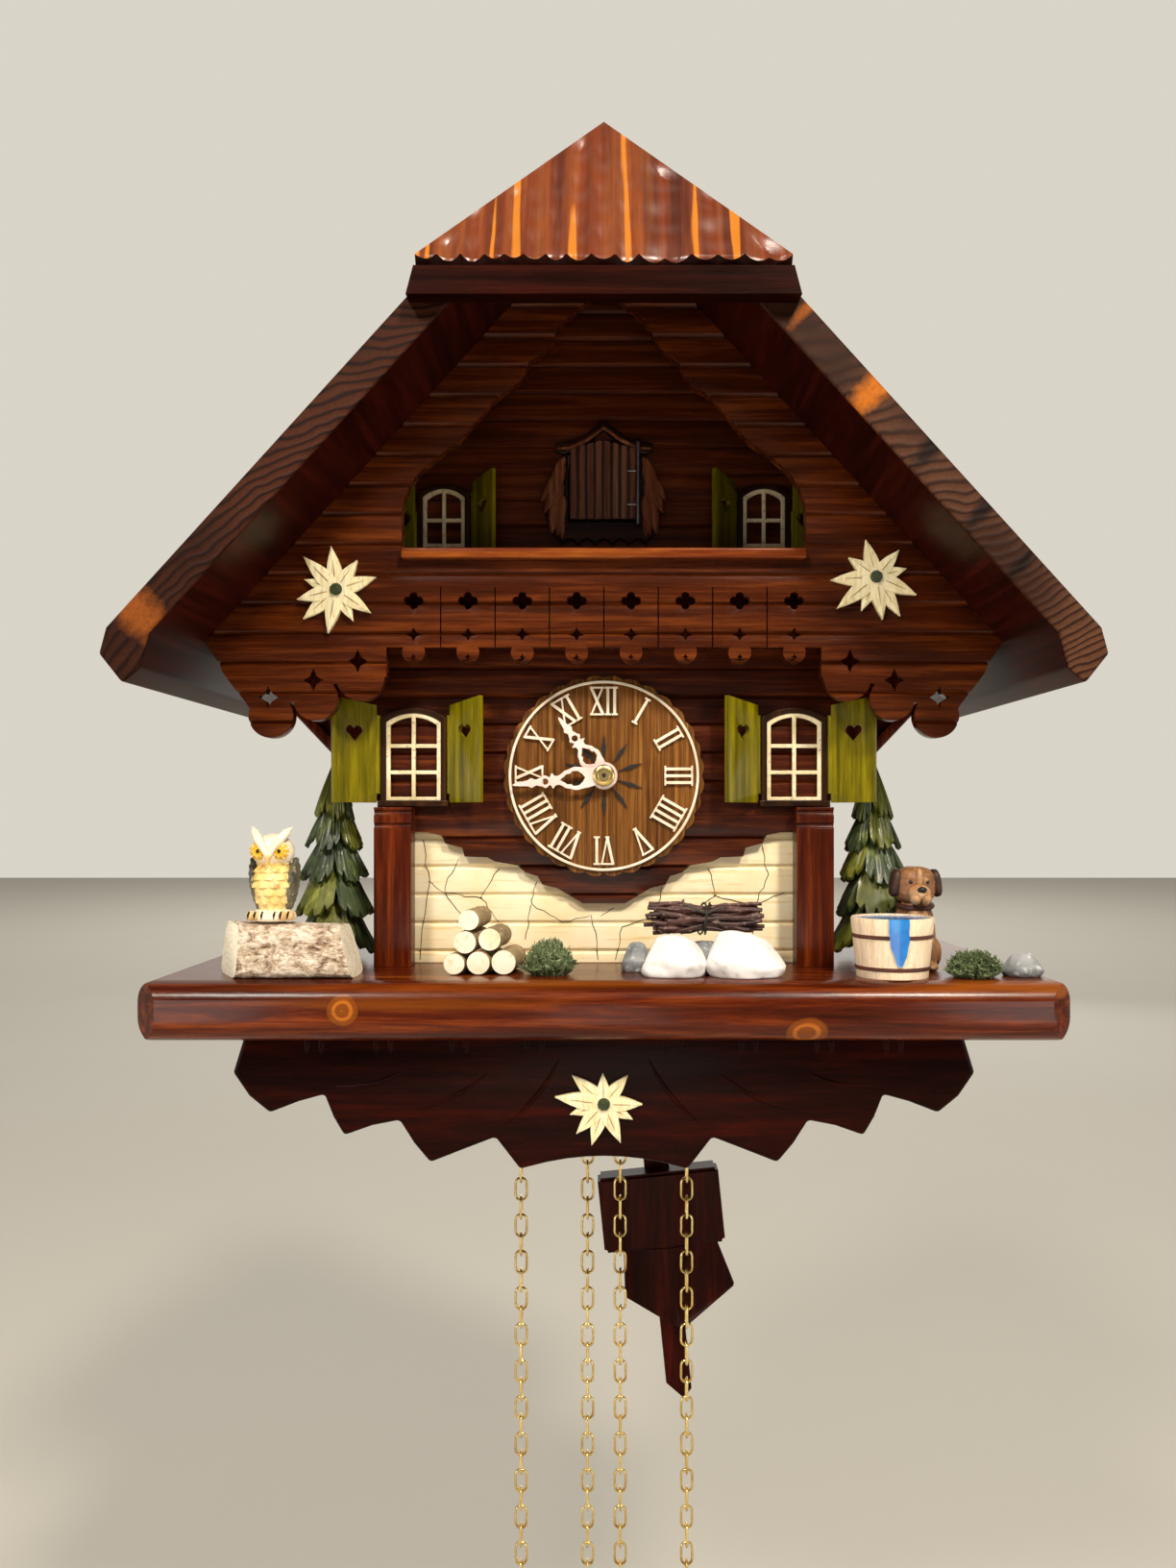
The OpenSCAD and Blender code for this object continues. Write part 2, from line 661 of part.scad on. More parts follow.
module dog() {
    color("sandybrown") translate([101.8, -104.5, base_z]) {
        difference() {
            translate([0, 0, 7]) sphere(8.3);
            translate([-10, -10, -5]) cube([20, 20, 5]);
        }
        translate([0, 0, 9]) cylinder(r1 = 8.2, r2 = 6.4, h = 12);
        translate([0, -1.5, 27]) sphere(7.8);
        translate([0, -8, 24.6]) sphere(4.1);
    }
}

// ---------- movement ----------

module movement_plates() {
    half_w = 37;
    low_z = -190;
    top_z = -76;
    corners = [[18.5, -187], [34, -80], [-18.5, -187], [-34, -80]];
    arbors = [centre_at, great_at, strike_at, third_at, escape_at, pin_at, fly_at];
    color("goldenrod") {
        difference() {
            for (y = [plate_front_y, plate_back_y]) translate([-half_w, y, low_z])
                cube([2 * half_w, plate_t, top_z - low_z]);
            for (a = arbors) bar_y(a, arbor_r + fit_gap, -80, -36);
            bar_y([0, swing_z], arbor_r + fit_gap, -80, -36);
            bar_y(hammer_pin, arbor_r + fit_gap, -42, -36);
        }
        for (c = corners) bar_y(c, 2.4, plate_front_y + plate_t, plate_back_y);
        for (c = corners) bar_y(c, 3.2, front_in, plate_front_y);
        bar_y(motion_at, arbor_r, -83.8, plate_front_y);
        difference() {
            translate([bird_pin[0] - 2.4, bird_pin[1] - 2.5, -80]) cube([4.8, 5, 8]);
            translate([bird_pin[0], bird_pin[1], -76]) cylinder(r = 1.2 + fit_gap, h = 5);
        }
    }
}

// Centre arbor with its eighteen-tooth pinion and the forty-eight-tooth centre wheel.
module centre_wheel() {
    color("goldenrod") {
        difference() {
            gear(centre_at, 48, mesh(centre_at, third_at, 48, 8), -69.5, 1.4, aim(centre_at, third_at));
            for (a = [45 : 90 : 315]) bar_y([10 * cos(a), dial_z + 10 * sin(a)], 4, -71, -67);
        }
        gear(centre_at, 18, mesh(centre_at, great_at, 18, 36), -61, 2.4, aim(centre_at, great_at));
        bar_y(centre_at, arbor_r + 0.5, plate_front_y + plate_t + 0.3, plate_back_y - 0.3);
        bar_y(centre_at, arbor_r, -101, plate_back_y + plate_t + 0.6);
    }
}

// Minute wheel: thirty-six teeth on the cannon pinion, ten on the hour wheel.
module minute_wheel() {
    color("goldenrod") difference() {
        union() {
            gear(motion_at, 36, 0.5, -80.5, 1.2, 95);
            gear(motion_at, 10, 0.48, -83.5, 3.2, 108);
        }
        bar_y(motion_at, arbor_r + fit_gap, -85, -78);
    }
}

module time_great_wheel() {
    color("goldenrod") {
        difference() {
            gear(great_at, 36, mesh(centre_at, great_at, 18, 36), -60.6, 1.6, aim(great_at, centre_at) + 5);
            for (a = [0 : 72 : 288])
                bar_y([great_at[0] + 12 * cos(a), great_at[1] + 12 * sin(a)], 4.2, -62, -58);
        }
        arbor(great_at);
    }
}

module third_wheel() {
    color("goldenrod") {
        gear(third_at, 48, mesh(third_at, escape_at, 48, 8), -73.6, 1.2, aim(third_at, escape_at));
        gear(third_at, 8, mesh(centre_at, third_at, 48, 8), -70, 2.4, aim(third_at, centre_at) + 22.5);
        arbor(third_at);
    }
}

// Escape wheel of thirty pointed teeth and its eight-leaf pinion.
module escape_wheel() {
    teeth = 30;
    tip_r = 9;
    low_r = 7.2;
    points = [for (i = [0 : teeth - 1]) let (a = 360 * i / teeth)
        each [[tip_r * cos(a), tip_r * sin(a)], [low_r * cos(a + 2), low_r * sin(a + 2)],
              [low_r * cos(a + 9), low_r * sin(a + 9)]]];
    color("goldenrod") {
        translate([escape_at[0], 0, escape_at[1]]) plate(-46, 1) polygon(points);
        gear(escape_at, 8, mesh(third_at, escape_at, 48, 8), -74.2, 2.4, aim(escape_at, third_at) + 22.5);
        arbor(escape_at);
    }
}

// Anchor with two pallet arms on its arbor, and the crutch that leads the pendulum.
module anchor() {
    color("silver") translate([0, 0, swing_z]) rotate([0, -swing_rest, 0]) {
        translate([0, 0, -swing_z]) bar_y([0, swing_z], arbor_r, plate_front_y - 0.6, -32.6);
        plate(-46, 1.2) difference() {
            polygon([[-9, -3.6], [-6.4, 0.5], [0, 2.6], [6.4, 0.5], [9, -3.6], [7.2, -2.6], [5, -0.8],
                     [-5, -0.8], [-7.2, -2.6]]);
            circle(arbor_r - 0.3);
        }
        translate([-0.8, -37.2, -34]) cube([1.6, 0.6, 34]);
        translate([-2.2, -37.2, -35]) cube([4.4, 4.6, 1.2]);
    }
}

// Flat wooden rod on a loop, hung on the suspension pin and swung to one side.
module pendulum_rod() {
    rod_half = 4.8;
    color("saddlebrown") translate([0, 0, swing_z]) rotate([0, -swing_rest, 0]) difference() {
        union() {
            plate(-36.4, 2.6) circle(3);
            translate([-1.2, -36.4, -30]) cube([2.4, 2.6, 28]);
            plate(-36.4, 2.6) polygon([[-rod_half, -286], [-rod_half, -29], [rod_half, -29],
                                       [rod_half, -289], [1.4, -292.5]]);
        }
        plate(-38, 6) circle(arbor_r + fit_gap);
        translate([-2.6, -37, -36]) cube([5.2, 4, 3.2]);
    }
}

// Block and shield of the bob; the block is let over the rod, the shield lies on its front.
module pendulum_bob() {
    color("maroon") translate([0, 0, swing_z]) rotate([0, -swing_rest, 0]) {
        difference() {
            translate([-23.3, -44, -231.5]) cube([46.6, 11.6, 29]);
            translate([-4.8, -36.4, -232]) cube([9.6, 5, 30]);
        }
        plate(-41.4, 5) polygon([[-15.8, -231.5], [-17.2, -250], [1, -263.6], [5.6, -263.6],
                                 [25.2, -249.6], [20, -231.5]]);
        plate(-42.8, 1.4) polygon([[-1.4, -231.5], [0.6, -262], [6, -262], [4.8, -231.5]]);
    }
}

// Flanged chain wheel that turns on its great wheel arbor.
module sprocket(at) {
    color("goldenrod") difference() {
        union() {
            bar_y(at, 9.6, -56.4, -47.6);
            bar_y(at, 13.4, -56.4, -55);
            bar_y(at, 13.4, -49, -47.6);
        }
        bar_y(at, arbor_r + 0.5 + fit_gap, -57, -47);
        for (a = [0 : 60 : 300]) bar_y([at[0] + 6 * cos(a), at[1] + 6 * sin(a)], 1.5, -57, -47);
    }
}

module time_sprocket() { sprocket(great_at); }
module strike_sprocket() { sprocket(strike_at); }

module strike_great_wheel() {
    color("goldenrod") {
        gear(strike_at, 48, mesh(strike_at, pin_at, 48, 12), -66, 1.6, aim(strike_at, pin_at));
        arbor(strike_at);
    }
}

// Pin wheel: twelve-leaf pinion, forty-eight-tooth wheel and eight lifting pins.
module pin_wheel() {
    color("goldenrod") {
        gear(pin_at, 12, mesh(strike_at, pin_at, 48, 12), -66.4, 2.4, aim(pin_at, strike_at) + 15);
        gear(pin_at, 48, mesh(pin_at, fly_at, 48, 8), -73.4, 1.2, aim(pin_at, fly_at));
        for (a = [0 : 45 : 315]) bar_y([pin_at[0] + 13 * cos(a), pin_at[1] + 13 * sin(a)], 0.7, -75.6, -73.4);
        arbor(pin_at);
    }
}

module fly() {
    color("silver") {
        gear(fly_at, 8, mesh(pin_at, fly_at, 48, 8), -74, 2.4, aim(fly_at, pin_at) + 22.5);
        arbor(fly_at);
        translate([fly_at[0] - 9, -66, fly_at[1] - 0.4]) cube([18, 9, 0.8]);
    }
}

// The two half turns of chain that lie over the sprockets.
module chain_turns() {
    color("gold") for (at = [great_at, strike_at]) translate([at[0], chain_y, at[1]]) rotate([90, 0, 0])
        intersection() {
            rotate_extrude() translate([chain_run_r, 0]) circle(chain_r, $fn = 24);
            translate([-20, 0.2, -5]) cube([40, 20, 10]);
        }
}

// A hanging chain, as the round bar that its links fill.
module chain(x) {
    color("gold") translate([x, chain_y, chain_end_z])
        cylinder(r = chain_r, h = great_at[1] - chain_end_z - 0.2);
}

module ring(x) {
    color("gold") translate([x, chain_y, chain_end_z - 8.6]) rotate([0, 90, 0])
        rotate_extrude() translate([8, 0]) circle(0.9, $fn = 24);
}

outer_x = great_at[0] + chain_run_r;
inner_x = great_at[0] - chain_run_r;

module time_chain() { chain(outer_x); }
module strike_chain() { chain(-outer_x); }
module time_pull_chain() { chain(inner_x); ring(inner_x); }
module strike_pull_chain() { chain(-inner_x); ring(-inner_x); }

// Pine cone weight with a hook at its top.
module weight(x) {
    crown_z = chain_end_z - 14;
    profile = [[0, 0], [0.22, 0.012], [0.5, 0.09], [0.75, 0.24], [0.91, 0.42], [1, 0.58], [1, 0.7],
               [0.88, 0.85], [0.62, 0.955], [0.3, 1], [0, 1]];
    color("dimgray") translate([x, chain_y, 0]) {
        translate([0, 0, chain_end_z - 5.4]) rotate([90, 0, 0]) rotate_extrude()
            translate([4.2, 0]) circle(1, $fn = 24);
        translate([0, 0, crown_z]) cylinder(r = 1.4, h = 4.6);
        translate([0, 0, crown_z - cone_h]) rotate_extrude()
            polygon([for (p = profile) [p[0] * cone_r, p[1] * cone_h]]);
    }
}

module time_weight() { weight(outer_x); }
module strike_weight() { weight(-outer_x); }

// ---------- cuckoo ----------

// Two square wooden pipes with a mouth, and the folded cloth on top of each.
module cuckoo_pipes() {
    both_sides() {
        color("burlywood") difference() {
            translate([49, -60, -172]) cube([22, 25, 84]);
            translate([53, -61, -112]) cube([14, 8, 5]);
        }
        color("ivory") translate([50, -59, -88]) cube([20, 23, 5.6]);
    }
}

module bellows_top(side) {
    color("burlywood") translate([side * 60 - 11, -60, -82.2]) difference() {
        cube([22, 25, 2.4]);
        translate([11, 4, -1]) cylinder(r = 0.8, h = 5);
    }
}

module left_bellows_top() { bellows_top(-1); }
module right_bellows_top() { bellows_top(1); }

// Bird on a cranked wire that swings about an upright pin; it is stored turned in behind the door.
module cuckoo_bird() {
    elbow = [21, -36.5];
    perch = [-0.5, -42.2];
    arm_z = -39.5;
    color("silver") {
        translate([bird_pin[0], bird_pin[1], -75.6]) cylinder(r = 1.2, h = 37.6);
        for (run = [[bird_pin, elbow], [elbow, perch]]) {
            d = run[1] - run[0];
            translate([run[0][0], run[0][1], arm_z]) rotate([0, 90, atan2(d[1], d[0])])
                cylinder(r = 0.9, h = norm(d));
            translate([run[1][0], run[1][1], arm_z]) sphere(1.15);
        }
    }
    color("slategray") translate([perch[0], perch[1], arm_z]) rotate([0, 0, bird_turn]) {
        cylinder(r = 0.8, h = 6);
        translate([0, 0, 7]) sphere(4);
        translate([0, -3.2, 11]) sphere(3);
        translate([0, -5.6, 11]) rotate([90, 0, 0]) cylinder(r1 = 1.2, r2 = 0.2, h = 3.2);
        translate([0, 2, 7.5]) rotate([-100, 0, 0]) cylinder(r1 = 2.6, r2 = 1.4, h = 8);
    }
}

// Coiled gong, drawn as rings on a radial bar, on a cast post.
module gong() {
    middle = [0, -66];
    color("silver") {
        for (r = [8 : 5 : 23]) translate([middle[0], -12, middle[1]]) rotate([90, 0, 0])
            rotate_extrude() translate([r, 0]) circle(0.9, $fn = 24);
        translate([-1.2, -13.2, middle[1] - 34]) cube([2.4, 2.4, 33]);
        bar_y([0, middle[1] - 32], 4.5, -13.6, -panel_t);
    }
}

// Hammer head on a wire arm that turns on a pin in the back plate.
module gong_hammer() {
    head_z = -68;
    color("silver") {
        bar_y(hammer_pin, arbor_r, -40, -10);
        translate([hammer_pin[0] - 0.9, -13, hammer_pin[1]]) cube([1.8, 1.8, head_z - hammer_pin[1]]);
        bar_y([hammer_pin[0], head_z], 4, -16, -8.6);
    }
}

back_panel();
hanger_plate();
case_sides();
base_board();
apron();
lower_facade();
stone_wall();
porch_posts();
gable_front();
balcony_boards();
upper_wall();
roof_left();
roof_right();
hip_roof();
windows();
shutters();
door_surround();
cuckoo_door();
dial_disc();
dial_numerals();
hour_hand();
minute_hand();
hand_nut();
edelweiss();
half_log();
owl();
fir_trees();
log_stack();
moss();
brushwood();
stones();
water_tub();
dog();
movement_plates();
centre_wheel();
minute_wheel();
time_great_wheel();
third_wheel();
escape_wheel();
anchor();
pendulum_rod();
pendulum_bob();
time_sprocket();
strike_sprocket();
strike_great_wheel();
pin_wheel();
fly();
chain_turns();
time_chain();
strike_chain();
time_pull_chain();
strike_pull_chain();
time_weight();
strike_weight();
cuckoo_pipes();
left_bellows_top();
right_bellows_top();
cuckoo_bird();
gong();
gong_hammer();
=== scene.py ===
"""Chalet cuckoo clock: the looks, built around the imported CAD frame."""
import json
import math
import random

import bmesh
import bpy
from mathutils import Matrix, Vector, noise


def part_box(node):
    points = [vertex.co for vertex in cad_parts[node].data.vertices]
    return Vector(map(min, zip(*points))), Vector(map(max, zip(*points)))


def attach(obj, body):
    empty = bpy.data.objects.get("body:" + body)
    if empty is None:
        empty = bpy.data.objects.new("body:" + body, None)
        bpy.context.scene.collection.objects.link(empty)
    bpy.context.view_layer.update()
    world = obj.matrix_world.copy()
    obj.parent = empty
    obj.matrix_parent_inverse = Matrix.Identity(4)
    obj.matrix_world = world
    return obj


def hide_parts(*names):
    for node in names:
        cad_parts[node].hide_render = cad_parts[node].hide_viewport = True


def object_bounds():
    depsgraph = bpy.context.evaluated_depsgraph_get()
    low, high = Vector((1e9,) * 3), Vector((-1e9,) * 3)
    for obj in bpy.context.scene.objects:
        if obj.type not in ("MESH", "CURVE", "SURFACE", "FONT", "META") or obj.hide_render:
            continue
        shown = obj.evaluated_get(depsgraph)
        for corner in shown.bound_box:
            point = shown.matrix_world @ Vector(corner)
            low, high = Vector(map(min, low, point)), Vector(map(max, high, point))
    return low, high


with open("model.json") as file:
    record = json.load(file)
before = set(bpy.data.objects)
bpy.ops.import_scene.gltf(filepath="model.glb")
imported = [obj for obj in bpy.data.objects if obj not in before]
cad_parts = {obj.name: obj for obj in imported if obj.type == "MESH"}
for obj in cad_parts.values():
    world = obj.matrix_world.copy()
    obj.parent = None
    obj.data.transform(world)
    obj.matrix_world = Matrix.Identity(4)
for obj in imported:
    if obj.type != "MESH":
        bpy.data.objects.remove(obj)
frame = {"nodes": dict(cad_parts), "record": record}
CAD_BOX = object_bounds()
MM = 0.001
CASE = "clock_case"
NODE_BODY = {n: b for b, ns in frame["record"]["behaviour"]["bodies"].items() for n in ns}


def mm(*v):
    """A point given in millimetres, in metres."""
    return Vector(v) * MM


def middle(node):
    low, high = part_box(node)
    return (low + high) / 2


# ---------------------------------------------------------------- materials


def linear(code):
    """Hex colour to a linear RGBA tuple."""
    out = []
    for i in (0, 2, 4):
        c = int(code[i : i + 2], 16) / 255
        out.append(c / 12.92 if c <= 0.04045 else ((c + 0.055) / 1.055) ** 2.4)
    return (*out, 1.0)


class Shader:
    """A node material under construction. Coordinates are the shared frame's, in metres."""

    def __init__(self, name, rough=0.4, metal=0.0, coat=0.0, coat_rough=0.15, spec=0.5):
        self.mat = bpy.data.materials.new(name)
        self.mat.use_nodes = True
        self.tree = self.mat.node_tree
        self.out = self.tree.nodes["Principled BSDF"]
        self.out.inputs["Roughness"].default_value = rough
        self.out.inputs["Metallic"].default_value = metal
        self.out.inputs["Coat Weight"].default_value = coat
        self.out.inputs["Coat Roughness"].default_value = coat_rough
        self.out.inputs["Specular IOR Level"].default_value = spec
        self.coord = self.node("ShaderNodeTexCoord").outputs["Object"]
        self.height = None

    def node(self, kind, **props):
        n = self.tree.nodes.new(kind)
        for k, v in props.items():
            setattr(n, k, v)
        return n

    def link(self, a, b):
        self.tree.links.new(a, b)

    def mapped(self, scale, turn=(0, 0, 0), move=(0, 0, 0)):
        m = self.node("ShaderNodeMapping")
        m.inputs["Scale"].default_value = scale
        m.inputs["Rotation"].default_value = [math.radians(a) for a in turn]
        m.inputs["Location"].default_value = move
        self.link(self.coord, m.inputs["Vector"])
        return m.outputs["Vector"]

    def noise(self, vec, detail=6.0, rough=0.6, twist=0.0):
        n = self.node("ShaderNodeTexNoise")
        n.inputs["Scale"].default_value = 1.0
        n.inputs["Detail"].default_value = detail
        n.inputs["Roughness"].default_value = rough
        n.inputs["Distortion"].default_value = twist
        self.link(vec, n.inputs["Vector"])
        return n.outputs["Fac"]

    def ramp(self, fac, stops):
        r = self.node("ShaderNodeValToRGB")
        e = r.color_ramp.elements
        while len(e) < len(stops):
            e.new(0.5)
        for el, (pos, col) in zip(e, stops):
            el.position = pos
            el.color = linear(col) if isinstance(col, str) else (col, col, col, 1)
        self.link(fac, r.inputs["Fac"])
        return r.outputs["Color"]

    def mix(self, fac, a, b, how="MIX"):
        m = self.node("ShaderNodeMix", data_type="RGBA", blend_type=how)
        for value, socket in ((fac, m.inputs[0]), (a, m.inputs[6]), (b, m.inputs[7])):
            if isinstance(value, (int, float)):
                socket.default_value = value
            elif isinstance(value, str):
                socket.default_value = linear(value)
            else:
                self.link(value, socket)
        return m.outputs[2]

    def maths(self, how, a, b=None):
        m = self.node("ShaderNodeMath", operation=how)
        for value, socket in ((a, m.inputs[0]), (b, m.inputs[1])):
            if value is None:
                continue
            if isinstance(value, (int, float)):
                socket.default_value = value
            else:
                self.link(value, socket)
        return m.outputs[0]

    def distance(self, point, stretch=(1, 1, 1), turn=0.0):
        """Distance from a point, in axes turned about +Y by turn degrees and weighed by stretch."""
        place = self.mapped((1, 1, 1), move=tuple(-p for p in point))
        spin = self.node("ShaderNodeVectorRotate", rotation_type="Y_AXIS")
        spin.inputs["Angle"].default_value = math.radians(turn)
        self.link(place, spin.inputs["Vector"])
        m = self.node("ShaderNodeMapping")
        m.inputs["Scale"].default_value = stretch
        self.link(spin.outputs["Vector"], m.inputs["Vector"])
        n = self.node("ShaderNodeVectorMath", operation="LENGTH")
        self.link(m.outputs["Vector"], n.inputs[0])
        return n.outputs["Value"]

    def colour(self, socket):
        self.link(socket, self.out.inputs["Base Color"])
        return self

    def rough(self, fac, low, high):
        r = self.node("ShaderNodeMapRange")
        self.link(fac, r.inputs["Value"])
        r.inputs["To Min"].default_value = low
        r.inputs["To Max"].default_value = high
        self.link(r.outputs["Result"], self.out.inputs["Roughness"])
        return self

    def bump(self, height, strength=0.3, depth=0.0004):
        b = self.node("ShaderNodeBump")
        b.inputs["Strength"].default_value = strength
        b.inputs["Distance"].default_value = depth
        self.link(height, b.inputs["Height"])
        if self.height is not None:
            self.link(self.height, b.inputs["Normal"])
        self.height = b.outputs["Normal"]
        self.link(self.height, self.out.inputs["Normal"])
        return self


def along(axis, slow, fast):
    """Mapping scale of grain that runs along one axis."""
    return tuple(slow if axis == a else fast for a in "XYZ")


def wood(name, axis, dark, mid, light, rough=0.32, coat=0.35, fast=330, knots=(), patch=0.5, streak=None,
         spec=0.13):
    """Stained wood: year lines, fine pores, slow patches of tone and, where asked, knots."""
    s = Shader(name, rough=rough, coat=coat * 0.4, coat_rough=0.16, spec=spec)
    lines = s.noise(s.mapped(along(axis, 16, fast)), detail=9, rough=0.7, twist=0.3)
    slow = s.noise(s.mapped(along(axis, 7, 46), move=(3, 1, 2)), detail=3, rough=0.5, twist=0.6)
    pores = s.noise(s.mapped(along(axis, 90, 2300)), detail=3, rough=0.7)
    tone = s.ramp(lines, [(0.26, dark), (0.5, mid), (0.74, light)])
    patches = s.ramp(slow, [(0.34, 0.34), (0.52, 0.95), (0.7, 1.0)])
    tone = s.mix(patch, tone, patches, "MULTIPLY")
    if streak:
        gold = s.noise(s.mapped(along(axis, 4, 62), move=(8, 5, 1)), detail=2, rough=0.4, twist=0.8)
        tone = s.mix(s.ramp(gold, [(0.57, 0.0), (0.66, 0.85)]), tone, streak)
    for place, size, col in knots:
        d = s.distance(place, (1 / size[0], 1 / size[1], 1 / size[2]))
        wobble = s.maths("ADD", d, s.maths("MULTIPLY", s.noise(s.mapped((60, 60, 60)), detail=2), 0.35))
        rings = s.maths("SINE", s.maths("MULTIPLY", wobble, 13.0))
        ring_tone = s.mix(s.ramp(rings, [(0.1, 0.35), (0.9, 1.0)]), mid, col)
        tone = s.mix(s.ramp(wobble, [(0.95, 0.0), (1.15, 0.75), (1.4, 0.0)]), tone, dark)
        tone = s.mix(s.ramp(wobble, [(0.0, 1.0), (0.85, 0.9), (1.05, 0.0)]), tone, ring_tone)
    tone = s.mix(0.5, tone, s.ramp(pores, [(0.35, 0.5), (0.5, 1.0)]), "MULTIPLY")
    s.colour(tone).rough(lines, rough - 0.09, rough + 0.14)
    return s.bump(lines, 0.35, 0.0003).bump(pores, 0.2, 0.00012).mat


def end_grain(name, dark, light, centre, spacing=0.0019, spots=(), stain=True, depth=0.0004):
    """Sawn end of a board: wavy year rings with open pores."""
    s = Shader(name, rough=0.65, spec=0.1)
    d = s.distance(centre)
    warp = s.noise(s.mapped((22, 22, 22)), detail=3)
    ring = s.maths("SINE", s.maths("MULTIPLY", s.maths("ADD", d, s.maths("MULTIPLY", warp, 0.012)),
                                   2 * math.pi / spacing))
    fine = s.noise(s.mapped((900, 900, 900)), detail=3)
    blot = s.noise(s.mapped((16, 16, 16), move=(1, 4, 2)), detail=3, rough=0.6)
    tone = s.ramp(ring, [(0.0, light), (1.0, dark)])
    if stain:
        tone = s.mix(s.ramp(blot, [(0.34, 0.9), (0.6, 0.0)]), tone, dark)
    streaks = s.noise(s.mapped((260, 60, 260)), detail=3, rough=0.6)
    for place, size, turn, col in spots:
        d = s.maths("ADD", s.distance(place, (1 / size[0], 0, 1 / size[1]), turn),
                    s.maths("MULTIPLY", streaks, 0.9))
        d = s.maths("MULTIPLY", d, 0.5)
        tone = s.mix(s.ramp(d, [(0.42, 0.85), (0.76, 0.0)]), tone, col)
    tone = s.mix(0.5, tone, s.ramp(fine, [(0.35, 0.5), (0.6, 1.0)]), "MULTIPLY")
    return s.colour(tone).rough(fine, 0.5, 0.7).bump(ring, 0.25, depth).bump(fine, 0.3, 0.0002).mat


def painted(name, base, shade, spots=None, rough=0.5, grain=None, fine=700, coat=0.0, bump=0.25):
    """Brushed paint over wood or resin: two tones, fine tooth, and grain along an axis if given."""
    s = Shader(name, rough=rough, coat=coat)
    big = s.noise(s.mapped((95, 95, 95)), detail=5, rough=0.6)
    tooth = s.noise(s.mapped(along(grain, 40, fine) if grain else (fine, fine, fine)), detail=4)
    tone = s.mix(s.ramp(big, [(0.38, 0.0), (0.64, 1.0)]), base, shade)
    if spots:
        tone = s.mix(s.ramp(tooth, [(0.56, 0.0), (0.68, 0.75)]), tone, spots)
    s.colour(tone).rough(tooth, rough - 0.08, rough + 0.12)
    return s.bump(tooth, bump, 0.0002).mat


def metal(name, base, shade, rough=0.28):
    s = Shader(name, rough=rough, metal=1.0)
    smear = s.noise(s.mapped((120, 120, 120)), detail=5, rough=0.65)
    fine = s.noise(s.mapped((1500, 1500, 300)), detail=3)
    s.colour(s.mix(s.ramp(smear, [(0.35, 0.0), (0.7, 1.0)]), base, shade))
    return s.rough(smear, rough - 0.08, rough + 0.16).bump(fine, 0.12, 0.0001).mat


def hip_wood():
    """Reddish planks of the hip roof with narrow gold streaks."""
    s = Shader("hip_wood", rough=0.3, coat=0.3, coat_rough=0.22, spec=0.35)
    lines = s.noise(s.mapped((250, 4, 9)), detail=6, rough=0.6, twist=0.2)
    boards = s.noise(s.mapped((105, 2, 4), move=(4, 0, 2)), detail=2, rough=0.5, twist=0.3)
    gold = s.noise(s.mapped((210, 2, 7), move=(9, 3, 1)), detail=1.5, rough=0.4, twist=0.25)
    tone = s.mix(0.5, s.ramp(lines, [(0.3, "2a0d06"), (0.48, "682910"), (0.64, "96501c")]),
                 s.ramp(boards, [(0.36, "34130a"), (0.5, "823a12"), (0.62, "5e2a12")]))
    tone = s.mix(s.ramp(gold, [(0.59, 0.0), (0.61, 0.95)]), tone, "c4761a")
    return s.colour(tone).rough(lines, 0.24, 0.42).bump(lines, 0.3, 0.0003).mat


def birch_bark():
    """Pale bark, torn in places to the brown layer under it."""
    s = Shader("birch_bark", rough=0.8)
    big = s.noise(s.mapped((210, 120, 300)), detail=7, rough=0.74, twist=0.6)
    fine = s.noise(s.mapped((420, 420, 1100)), detail=5, rough=0.75)
    s.colour(s.mix(s.ramp(fine, [(0.42, 0.0), (0.58, 1.0)]),
                   s.ramp(big, [(0.38, "5a3c28"), (0.5, "b39478"), (0.6, "d9c6ad")]),
                   s.ramp(big, [(0.36, "8a6a50"), (0.48, "e3d2ba"), (0.6, "fbf4e6")])))
    return s.bump(big, 0.8, 0.0014).bump(fine, 0.6, 0.0005).mat


BASE_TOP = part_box("base_board")[1].z
GOLDEN_ANGLE = 2.399963
SWING_TOP, SWING_REST = -84, math.radians(-5.8)
BIRD_TURN = math.radians(-57)
SPROCKET_X, SPROCKET_Z, CHAIN_RUN = 0.0185, -0.162, 0.0124
SPROCKET_Y = -0.052
CHAIN_PITCH, LINK_WIRE = 0.0068, 0.00048
CHAIN_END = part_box("time_chain")[0].z
RED = dict(dark="190501", mid="521a05", light="8e3f0b")
KNOTS = [(mm(-79, -137.5, -208.5), (0.0062, 0.03, 0.0062), "b8691f"),
         (mm(61, -137.5, -215.5), (0.0085, 0.03, 0.0062), "b0621c")]

